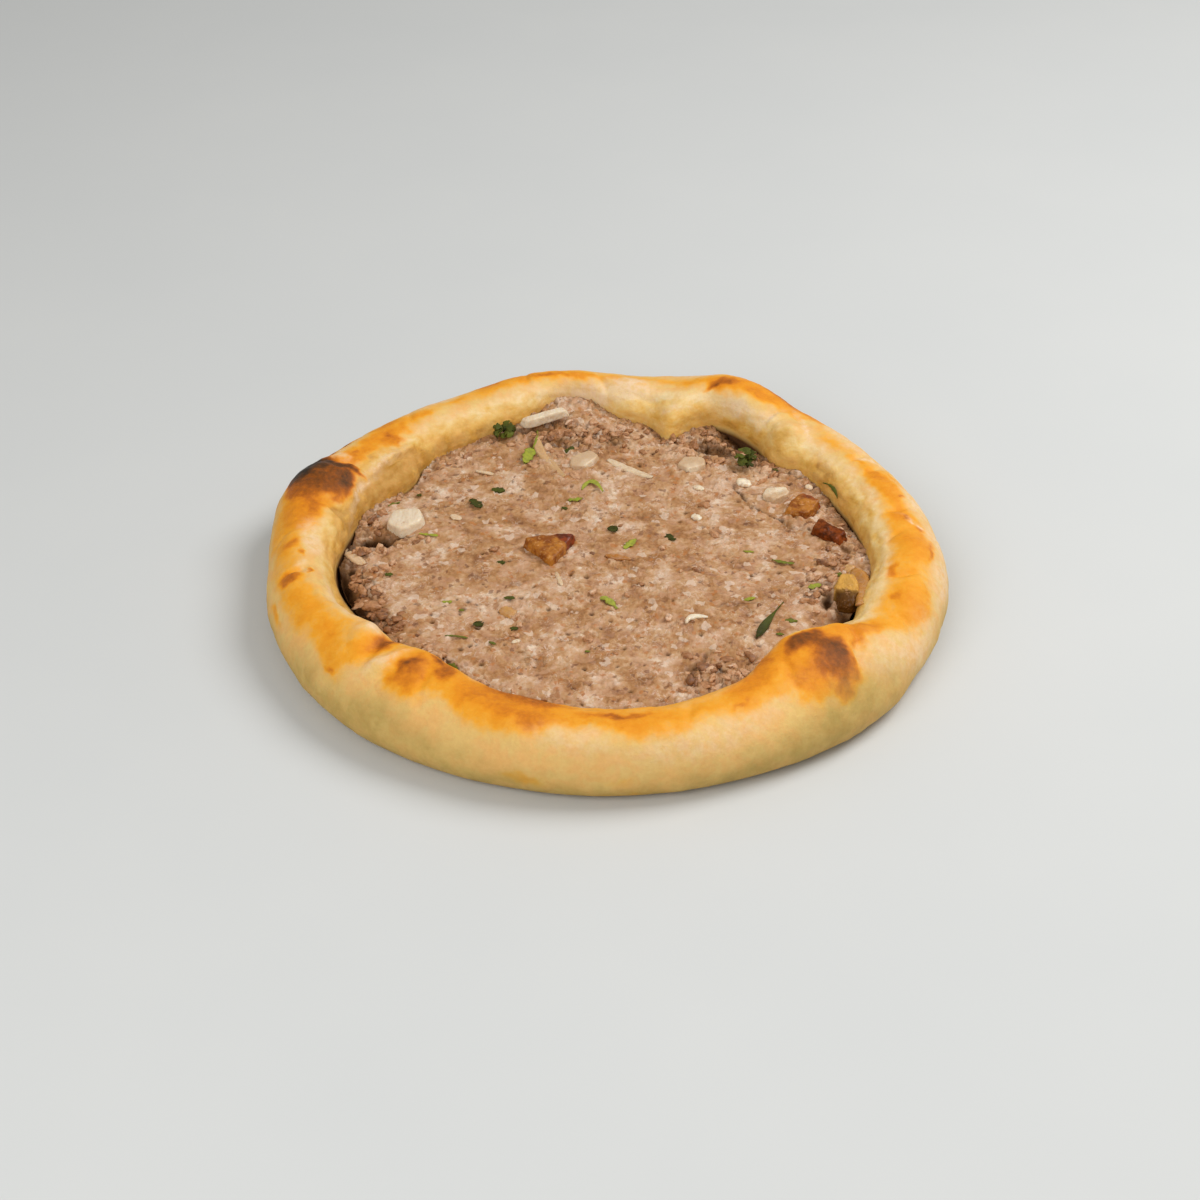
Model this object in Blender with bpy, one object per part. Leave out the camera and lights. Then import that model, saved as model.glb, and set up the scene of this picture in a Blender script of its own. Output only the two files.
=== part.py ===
"""Open-faced sfiha: a round of dough with a puffed, hand-pinched rim, a
level of minced meat baked in its well, and the larger pieces of tomato,
onion and herb that sit in the meat.

Frame: origin at the centre of the underside, +Z up, -Y towards the eater.
Every size below is in millimetres and is turned to metres by MM.
"""

import math

import bmesh
import bpy
from mathutils import Matrix, Vector, noise

MM = 0.001

# ---------------------------------------------------------------- rim sizes
OUTER_R = 62.5  # widest radius of the dough
WIDEST_Z = 4.9  # height at which it is widest
FOOT_R_IN = 4.6  # how far the flat underside stays inside the widest radius
CREST_R = 54.6  # radius of the rim's highest line
CREST_Z = 13.2  # height of that line
WELL_R = 47.6  # radius at which the meat meets the rim
WELL_Z = 8.4  # height of the meat along that line
FLOOR_Z = 3.4  # thickness of the dough under the meat
GAP = 0.35  # clearance between touching pieces

# ------------------------------------------------------------- filling sizes
DOME = 0.7  # rise of the meat from its edge to the middle
LUMP = 0.45  # height of the uneven lumps in the meat

# ------------------------------------------------------------- mesh fineness
AROUND = 88
OUTER_STEPS = 4
SHOULDER_STEPS = 5
INNER_STEPS = 5
TOP_RINGS = (0.955, 0.86, 0.72, 0.57, 0.42, 0.27, 0.13)

# Where the hand-made rim leaves its plain circle. Each fold, hump or pinch is
# centred at an angle (degrees, anticlockwise from +X, seen from above) with a
# half width, and adds millimetres to five sizes of the section there:
# outer radius, crest radius, crest height, well radius, meat height.
FOLDS = (
    # name                     at   half  outer crestR crestZ  wellR  meatZ
    ("knuckle_front_right", 312.0, 10.5, 0.4, -5.6, 2.3, -3.8, 0.0),
    ("knuckle_shoulder", 322.5, 4.5, 0.2, -2.6, 0.9, 0.0, 0.0),
    ("pinch_right", 333.0, 5.0, 0.0, 1.4, -1.1, 0.8, -0.6),
    ("hump_right", 352.0, 11.0, 0.4, 0.8, 0.4, 1.0, 0.0),
    ("flat_side_right", 28.0, 15.0, -1.3, 0.0, 0.4, -1.0, 0.0),
    ("blister_back_right", 44.0, 6.0, -0.4, 0.0, 0.2, -2.4, 0.0),
    ("hump_back_right", 64.0, 11.5, 2.3, 0.9, 3.3, 2.6, 0.4),
    ("tongue_back", 73.5, 4.6, 0.0, -1.0, 0.0, -6.4, -0.4),
    ("dip_back", 85.0, 7.0, -0.6, 0.0, 0.6, -1.2, 0.0),
    ("hump_back", 103.0, 13.0, 0.8, 1.6, 1.5, 1.0, 0.0),
    ("meat_over_back", 98.0, 9.0, 0.0, 0.6, 0.0, 5.4, 2.4),
    ("flat_side_back_left", 136.0, 13.0, -0.4, 0.0, 0.9, -0.4, 0.0),
    ("wall_back_left", 150.0, 8.0, 0.2, 0.4, 0.4, -3.2, 0.0),
    ("blister_left", 164.0, 11.0, 2.7, 2.2, 2.3, 0.0, 0.0),
    ("hump_left", 188.0, 15.0, 0.2, 1.4, 0.1, 2.6, -0.2),
    ("pleat_front_left", 213.0, 6.0, 0.0, -2.2, 0.3, -0.4, -0.4),
    ("knob_front_left", 232.0, 10.0, 0.2, -4.6, 0.5, -1.4, 0.0),
    ("bulge_front_left", 222.0, 30.0, 0.8, 0.0, 0.0, 0.0, 0.0),
    ("front_roll", 273.0, 17.0, 0.2, 2.8, -0.1, 1.4, 0.0),
    ("bulge_front_right", 318.0, 16.0, 0.5, 0.0, 0.0, 0.0, 0.0),
)


def swell(angle, at, half):
    """1 at the named angle, falling smoothly to 0 beyond about two half widths."""
    away = (angle - at + 180.0) % 360.0 - 180.0
    return math.exp(-((away / half) ** 2))


def section_sizes(angle):
    """Outer radius, crest radius, crest height, well radius and meat height in mm."""
    sizes = [OUTER_R, CREST_R, CREST_Z, WELL_R, WELL_Z]
    for _, at, half, *adds in FOLDS:
        share = swell(angle, at, half)
        for i, add in enumerate(adds):
            sizes[i] += share * add
    return sizes


def outline_centre():
    """Middle of the outline's bounding box, which is moved to the origin."""
    xs, ys = [], []
    for i in range(AROUND):
        angle = 360.0 * i / AROUND
        r = section_sizes(angle)[0]
        xs.append(r * math.cos(math.radians(angle)))
        ys.append(r * math.sin(math.radians(angle)))
    return (min(xs) + max(xs)) / 2, (min(ys) + max(ys)) / 2


CENTRE = outline_centre()


def place(angle, r, z):
    """A point of the section at an angle, as a vector in metres."""
    a = math.radians(angle)
    return Vector(
        (r * math.cos(a) - CENTRE[0], r * math.sin(a) - CENTRE[1], z)
    ) * MM


def crust_section(angle):
    """(radius, height) of the dough from its flat foot round to the floor of the well."""
    outer, crest, top, well, meat = section_sizes(angle)
    foot = outer - FOOT_R_IN
    points = []
    for i in range(OUTER_STEPS):  # foot curling up to the widest line
        a = math.pi / 2 * i / OUTER_STEPS
        points.append(
            (foot + (outer - foot) * math.sin(a), WIDEST_Z * (1 - math.cos(a)))
        )
    for i in range(SHOULDER_STEPS):  # widest line over the shoulder to the crest
        a = math.pi / 2 * i / SHOULDER_STEPS
        points.append(
            (
                crest + (outer - crest) * math.cos(a),
                WIDEST_Z + (top - WIDEST_Z) * math.sin(a),
            )
        )
    for i in range(INNER_STEPS + 1):  # crest down the inner slope to the meat line
        a = math.pi / 2 * i / INNER_STEPS
        points.append(
            (crest - (crest - well) * math.sin(a), top - (top - meat) * (1 - math.cos(a)))
        )
    points.append((well - 0.6, FLOOR_Z + 1.1))  # hidden wall of the well
    points.append((well - 1.9, FLOOR_Z))
    points.append((well * 0.55, FLOOR_Z))
    return points


def loft(bm, rings, cap_first, cap_last):
    """Closed skin through rings of vertices, with a flat face over each named end."""
    n = len(rings[0])
    for low, high in zip(rings, rings[1:]):
        for i in range(n):
            j = (i + 1) % n
            bm.faces.new((low[i], low[j], high[j], high[i]))
    if cap_first:
        bm.faces.new(tuple(reversed(rings[0])))
    if cap_last:
        bm.faces.new(tuple(rings[-1]))


def finish_mesh(bm, name, smooth_angle=40.0):
    bmesh.ops.recalc_face_normals(bm, faces=bm.faces)
    mesh = bpy.data.meshes.new(name)
    bm.to_mesh(mesh)
    bm.free()
    mesh.shade_smooth()
    mesh.set_sharp_from_angle(angle=math.radians(smooth_angle))
    return mesh


def material(name, colour, roughness):
    made = bpy.data.materials.new(name)
    made.use_nodes = True
    shader = made.node_tree.nodes["Principled BSDF"]
    shader.inputs["Base Color"].default_value = (*colour, 1.0)
    shader.inputs["Roughness"].default_value = roughness
    shader.inputs["Metallic"].default_value = 0.0
    made.diffuse_color = (*colour, 1.0)
    return made


def add_object(name, mesh, made_of):
    obj = bpy.data.objects.new(name, mesh)
    if made_of:
        mesh.materials.append(made_of)
    bpy.context.scene.collection.objects.link(obj)
    return obj


# -------------------------------------------------------------------- dough
def make_crust():
    bm = bmesh.new()
    sections = [crust_section(360.0 * i / AROUND) for i in range(AROUND)]
    rings = []
    for k in range(len(sections[0])):
        rings.append(
            [
                bm.verts.new(place(360.0 * i / AROUND, *sections[i][k]))
                for i in range(AROUND)
            ]
        )
    loft(bm, rings, cap_first=True, cap_last=True)
    return finish_mesh(bm, "crust")


# ------------------------------------------------------------------ filling
def meat_height(x, y, share, edge_z):
    """Top of the meat in mm at (x, y) mm: a low dome with uneven lumps."""
    lumps = noise.noise(Vector((x * 0.11, y * 0.11, 3.7)))
    lumps += 0.5 * noise.noise(Vector((x * 0.27, y * 0.27, 9.1)))
    settle = min(1.0, (1.0 - share) * 4.0)
    # The edge's own rise fades out towards the middle.
    base = WELL_Z + (edge_z - WELL_Z) * max(0.0, (share - 0.62) / 0.38) ** 1.5
    return base + DOME * (1 - share**2) + LUMP * lumps * settle


def make_filling():
    bm = bmesh.new()
    angles = [360.0 * i / AROUND for i in range(AROUND)]
    sizes = [section_sizes(a) for a in angles]

    def ring(radius_of, height_of):
        return [
            bm.verts.new(place(a, radius_of(s), height_of(a, s)))
            for a, s in zip(angles, sizes)
        ]

    bottom_z = FLOOR_Z + GAP
    rings = [
        ring(lambda s: s[3] - 2.2 - GAP, lambda a, s: bottom_z),
        ring(lambda s: s[3] - 0.75 - GAP, lambda a, s: FLOOR_Z + 1.3),
        ring(lambda s: s[3] - 0.15 - GAP, lambda a, s: s[4] - 0.4),
    ]
    for share in TOP_RINGS:

        def height_of(a, s, share=share):
            r = (s[3] - GAP) * share
            x = r * math.cos(math.radians(a))
            y = r * math.sin(math.radians(a))
            return meat_height(x, y, share, s[4])

        rings.append(ring(lambda s, share=share: (s[3] - GAP) * share, height_of))
    loft(bm, rings, cap_first=True, cap_last=False)
    middle = bm.verts.new(place(0.0, 0.0, meat_height(0.0, 0.0, 0.0, WELL_Z)))
    last = rings[-1]
    for i in range(AROUND):
        bm.faces.new((last[i], last[(i + 1) % AROUND], middle))
    return finish_mesh(bm, "filling", 60.0)


# ----------------------------------------------------------------- toppings
# name, colour key, x, y, height of its top above the underside, length,
# width, thickness, turn, lean along its length, number of corners, taper
# (top size over bottom size). Millimetres and degrees.
TOPPINGS = (
    ("tomato_middle", "tomato", -10.8, -0.4, 11.0, 9.6, 11.0, 4.2, 96.0, 5.0, 3, 0.84),
    ("onion_left", "onion", -38.2, 9.1, 10.4, 7.8, 7.8, 2.6, 14.0, 7.0, 5, 0.86),
    ("onion_strip_back", "onion", -12.4, 43.9, 12.2, 10.6, 2.4, 1.9, 19.0, 8.0, 4, 0.8),
    ("onion_back", "onion", -4.8, 30.6, 10.0, 7.4, 5.4, 2.2, 38.0, 5.0, 5, 0.82),
    ("onion_back_right", "onion", 16.4, 29.6, 9.9, 6.2, 5.4, 2.2, 8.0, 2.0, 5, 0.85),
    ("onion_right", "onion", 32.2, 18.6, 10.0, 6.0, 5.0, 2.4, 22.0, 0.0, 5, 0.85),
    ("tomato_right_back", "tomato", 37.2, 14.2, 10.3, 6.8, 5.6, 3.0, 64.0, 3.0, 4, 0.85),
    ("tomato_right", "tomato", 41.4, 5.2, 10.3, 7.6, 4.2, 2.8, -38.0, -4.0, 4, 0.82),
    ("onion_slice_right", "onion_baked", 43.2, -14.2, 10.8, 10.8, 5.2, 2.8, 82.0, 6.0, 6, 0.8),
    ("parsley_back_left", "parsley", -20.6, 40.8, 10.6, 5.4, 4.6, 1.9, 64.0, 10.0, 5, 0.75),
    ("parsley_back_right", "parsley", 27.4, 30.0, 10.8, 5.6, 4.0, 2.0, 80.0, 8.0, 5, 0.75),
)
POCKET = 0.35  # clearance of the meat round each topping


def topping_outline(corners, length, width):
    """Corners of an uneven cut piece, as (x, y) in mm about its middle."""
    points = []
    for i in range(corners):
        a = 2 * math.pi * (i + 0.5) / corners
        wobble = 1.0 + 0.13 * math.cos(2.3 * i + corners)
        points.append(
            (0.5 * length * wobble * math.cos(a), 0.5 * width * wobble * math.sin(a))
        )
    # The cut reaches its stated sizes, whatever its number of corners.
    long_side = max(p[0] for p in points) - min(p[0] for p in points)
    short_side = max(p[1] for p in points) - min(p[1] for p in points)
    return [(x * length / long_side, y * width / short_side) for x, y in points]


def topping_mesh(name, length, width, thick, corners, taper, grow=0.0):
    """Prism with a tapering side, its top face at z = 0; grow makes the pocket's cutter."""
    bm = bmesh.new()
    outline = topping_outline(corners, length, width)
    rings = []
    for z, scale in ((-thick - grow, 1.0), (grow, taper)):
        ring = []
        for x, y in outline:
            reach = math.hypot(x, y)
            out = scale + 1.7 * grow / reach
            ring.append(bm.verts.new(Vector((x * out, y * out, z)) * MM))
        rings.append(ring)
    loft(bm, rings, cap_first=True, cap_last=True)
    bmesh.ops.recalc_face_normals(bm, faces=bm.faces)
    mesh = bpy.data.meshes.new(name)
    bm.to_mesh(mesh)
    bm.free()
    return mesh


def lay(obj, x, y, top, turn, lean):
    obj.location = Vector((x - CENTRE[0], y - CENTRE[1], top)) * MM
    obj.rotation_euler = (
        Matrix.Rotation(math.radians(turn), 3, "Z")
        @ Matrix.Rotation(math.radians(-lean), 3, "Y")
    ).to_euler()


def main():
    for old in list(bpy.data.objects):
        bpy.data.objects.remove(old, do_unlink=True)

    colours = {
        "dough": material("dough", (0.78, 0.50, 0.21), 0.62),
        "meat": material("meat", (0.37, 0.215, 0.155), 0.55),
        "tomato": material("tomato", (0.42, 0.15, 0.045), 0.35),
        "onion": material("onion", (0.66, 0.55, 0.38), 0.32),
        "onion_baked": material("onion_baked", (0.38, 0.24, 0.09), 0.35),
        "parsley": material("parsley", (0.035, 0.085, 0.02), 0.5),
    }

    add_object("crust", make_crust(), colours["dough"])
    filling = add_object("filling", make_filling(), colours["meat"])

    for name, kind, x, y, top, length, width, thick, turn, lean, corners, taper in TOPPINGS:
        mesh = topping_mesh(name, length, width, thick, corners, taper)
        piece = add_object(name, mesh, colours[kind])
        lay(piece, x, y, top, turn, lean)
        bevel = piece.modifiers.new("soft_edges", "BEVEL")
        bevel.width = 0.5 * MM
        bevel.segments = 2
        bevel.limit_method = "NONE"
        mesh.shade_smooth()
        mesh.set_sharp_from_angle(angle=math.radians(50.0))

        cutter = add_object(
            name + "_pocket",
            topping_mesh(name + "_pocket", length, width, thick, corners, taper, POCKET),
            None,
        )
        lay(cutter, x, y, top, turn, lean)
        cutter.hide_render = True
        cutter.display_type = "WIRE"
        pocket = filling.modifiers.new(name + "_pocket", "BOOLEAN")
        pocket.operation = "DIFFERENCE"
        pocket.solver = "EXACT"
        pocket.object = cutter


main()
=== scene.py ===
"""Looks of the open-faced sfiha: a browned, hand-pinched dough rim round a level
of minced meat with bits of tomato, onion and parsley.

Sizes are in millimetres in the object's own frame (origin at the centre of the
underside, +Z up, -Y towards the eater) and are turned to metres by MM.
"""

import math

import bmesh
import bpy
import numpy as np
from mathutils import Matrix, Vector, noise
from mathutils.bvhtree import BVHTree


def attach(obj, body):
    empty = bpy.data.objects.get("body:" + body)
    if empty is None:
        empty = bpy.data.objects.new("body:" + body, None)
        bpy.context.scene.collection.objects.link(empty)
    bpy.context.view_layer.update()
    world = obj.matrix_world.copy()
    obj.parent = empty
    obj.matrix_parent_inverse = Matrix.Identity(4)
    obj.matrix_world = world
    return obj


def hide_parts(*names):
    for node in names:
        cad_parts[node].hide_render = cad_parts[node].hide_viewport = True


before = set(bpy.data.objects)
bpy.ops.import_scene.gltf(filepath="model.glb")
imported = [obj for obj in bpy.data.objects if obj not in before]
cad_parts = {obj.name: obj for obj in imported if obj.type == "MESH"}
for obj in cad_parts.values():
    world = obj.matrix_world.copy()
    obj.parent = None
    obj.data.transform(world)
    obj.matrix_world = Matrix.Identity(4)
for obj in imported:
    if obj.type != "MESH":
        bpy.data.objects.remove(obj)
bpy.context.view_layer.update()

MM = 0.001

# ------------------------------------------------------------------ rim sizes
# The same section and folds as the solids carry, so that each surface here lies
# on its solid.
OUTER_R = 62.5
WIDEST_Z = 4.9
FOOT_R_IN = 4.6
CREST_R = 54.6
CREST_Z = 13.2
WELL_R = 47.6
WELL_Z = 8.4
FLOOR_Z = 3.4
DOME = 0.7
LUMP = 0.45
OUTLINE_STEPS = 88

FOLDS = (
    # name                     at   half  outer crestR crestZ  wellR  meatZ
    ("knuckle_front_right", 312.0, 10.5, 0.4, -5.6, 2.3, -3.8, 0.0),
    ("knuckle_shoulder", 322.5, 4.5, 0.2, -2.6, 0.9, 0.0, 0.0),
    ("pinch_right", 333.0, 5.0, 0.0, 1.4, -1.1, 0.8, -0.6),
    ("hump_right", 352.0, 11.0, 0.4, 0.8, 0.4, 1.0, 0.0),
    ("flat_side_right", 28.0, 15.0, -1.3, 0.0, 0.4, -1.0, 0.0),
    ("blister_back_right", 44.0, 6.0, -0.4, 0.0, 0.2, -2.4, 0.0),
    ("hump_back_right", 64.0, 11.5, 2.3, 0.9, 3.3, 2.6, 0.4),
    ("tongue_back", 73.5, 4.6, 0.0, -1.0, 0.0, -6.4, -0.4),
    ("dip_back", 85.0, 7.0, -0.6, 0.0, 0.6, -1.2, 0.0),
    ("hump_back", 103.0, 13.0, 0.8, 1.6, 1.5, 1.0, 0.0),
    ("meat_over_back", 98.0, 9.0, 0.0, 0.6, 0.0, 5.4, 2.4),
    ("flat_side_back_left", 136.0, 13.0, -0.4, 0.0, 0.9, -0.4, 0.0),
    ("wall_back_left", 150.0, 8.0, 0.2, 0.4, 0.4, -3.2, 0.0),
    ("blister_left", 164.0, 11.0, 2.7, 2.2, 2.3, 0.0, 0.0),
    ("hump_left", 188.0, 15.0, 0.2, 1.4, 0.1, 2.6, -0.2),
    ("pleat_front_left", 213.0, 6.0, 0.0, -2.2, 0.3, -0.4, -0.4),
    ("knob_front_left", 232.0, 10.0, 0.2, -4.6, 0.5, -1.4, 0.0),
    ("bulge_front_left", 222.0, 30.0, 0.8, 0.0, 0.0, 0.0, 0.0),
    ("front_roll", 273.0, 17.0, 0.2, 2.8, -0.1, 1.4, 0.0),
    ("bulge_front_right", 318.0, 16.0, 0.5, 0.0, 0.0, 0.0, 0.0),
)

# Small shapes of the dough's skin: angle (degrees), arc length from the crest
# (mm, negative outside), half lengths along and across the rim (mm), turn from
# the rim's line (degrees) and height (mm, negative for a crease).
SKIN_SHAPES = (
    ("lip_left", 203.0, 0.3, 8.5, 1.0, -6.0, 0.50),
    ("crease_left", 192.6, -1.2, 0.7, 3.0, 12.0, -0.75),
    ("puff_left_low", 197.5, -3.4, 3.0, 3.2, 0.0, 0.45),
    ("puff_left_high", 185.5, -2.4, 3.6, 3.0, 0.0, 0.45),
    ("puff_left_top", 179.5, -0.6, 3.0, 2.4, 0.0, 0.30),
    ("dent_left_top", 180.6, -3.8, 0.9, 2.6, 20.0, -0.35),
    ("pleat_lip", 216.8, 0.2, 2.1, 2.8, 24.0, 1.05),
    ("pleat_groove", 221.8, -0.2, 1.1, 4.4, 20.0, -1.00),
    ("pleat_ridge", 225.8, -4.2, 1.5, 5.0, -24.0, 0.85),
    ("pleat_hollow", 228.4, -6.2, 0.9, 3.2, -24.0, -0.45),
    ("knob_front", 231.4, -3.6, 3.2, 3.8, 0.0, 0.90),
    ("knob_hollow", 235.6, -4.2, 1.0, 3.4, 18.0, -0.55),
    ("knob_end", 239.8, 0.4, 2.4, 2.0, 0.0, 0.40),
    ("front_dent", 264.5, 0.2, 3.4, 2.2, 0.0, -0.35),
    ("front_swelling", 250.0, -1.4, 8.0, 3.6, 0.0, 0.35),
    ("front_lip", 252.0, 3.6, 11.0, 1.1, 0.0, 0.30),
    ("front_pleat", 284.0, 1.0, 0.9, 2.8, -18.0, -0.35),
    ("front_lip_right", 298.0, 4.0, 7.0, 1.1, -6.0, 0.30),
    ("front_fold_right", 304.6, -3.0, 1.0, 4.0, -12.0, -0.35),
    ("knuckle_top", 313.4, -4.6, 4.8, 5.8, 0.0, 0.80),
    ("knuckle_edge", 320.0, -6.8, 0.85, 5.6, -38.0, -1.15),
    ("shoulder_roll", 324.4, -4.4, 1.6, 5.0, -52.0, 0.35),
    ("right_puff_low", 339.6, -3.4, 4.6, 3.4, 0.0, 0.65),
    ("right_low_crease", 333.2, -3.4, 0.8, 3.6, -20.0, -0.55),
    ("right_pinch", 345.6, 0.6, 0.8, 3.6, 24.0, -0.75),
    ("right_puff_mid", 353.6, -0.8, 4.6, 3.4, 0.0, 0.55),
    ("right_mid_crease", 359.4, 2.2, 0.7, 2.6, 30.0, -0.40),
    ("right_crease", 8.8, -0.6, 0.75, 3.4, 14.0, -0.70),
    ("right_puff_high", 15.6, 0.2, 4.6, 3.0, 0.0, 0.50),
    ("right_crease_high", 22.8, -1.0, 0.7, 2.8, 26.0, -0.50),
    ("right_crease_back", 28.4, -0.4, 0.8, 2.8, 20.0, -0.50),
    ("inner_blister", 44.6, 4.4, 3.4, 2.8, 0.0, 1.60),
    ("inner_blister_groove", 44.6, 0.6, 4.2, 0.7, -10.0, -0.50),
    ("inner_blister_edge", 49.8, 2.4, 0.8, 3.6, -22.0, 0.55),
    ("back_right_puff", 57.0, 3.6, 4.6, 2.6, 0.0, 0.45),
    ("back_right_dent", 67.6, 4.2, 2.2, 2.8, 0.0, -0.50),
    ("back_puff", 84.0, 2.4, 4.2, 1.9, 0.0, 0.60),
    ("back_hollow", 80.0, 6.0, 4.6, 1.3, 0.0, -0.55),
    ("back_crease", 91.0, 1.8, 0.8, 2.6, 18.0, -0.45),
    ("back_pinch", 107.0, -0.6, 0.9, 2.8, -16.0, -0.45),
    ("back_left_puff", 122.0, 3.6, 7.0, 2.0, 0.0, 0.40),
    ("back_left_crease", 134.4, -0.6, 0.8, 3.0, -20.0, -0.50),
    ("back_left_ridge", 147.0, 6.2, 6.0, 0.8, 4.0, 0.85),
    ("back_left_groove", 148.6, 7.4, 6.2, 0.6, 5.0, -0.80),
    ("back_left_ridge_low", 151.0, 8.6, 5.6, 0.8, 6.0, 0.75),
    ("blister_ridge", 156.6, 0.8, 0.8, 5.4, 8.0, -0.95),
    ("blister_cap", 162.6, -0.2, 4.4, 5.6, 0.0, 0.75),
    ("blister_wrinkle", 165.6, 0.4, 0.7, 3.6, 10.0, -0.25),
    ("blister_wrinkle_low", 160.6, 2.6, 0.6, 2.8, 10.0, 0.25),
    ("left_wall_fold", 171.4, 4.4, 0.9, 3.8, -12.0, -0.65),
    ("left_wall_puff", 178.0, 4.4, 4.0, 1.8, 0.0, 0.45),
    ("left_wall_hollow", 204.0, 6.0, 10.5, 3.2, 0.0, -2.00),
    ("shoulder_hollow", 324.4, 3.6, 3.8, 3.4, 0.0, -1.90),
)

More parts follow.
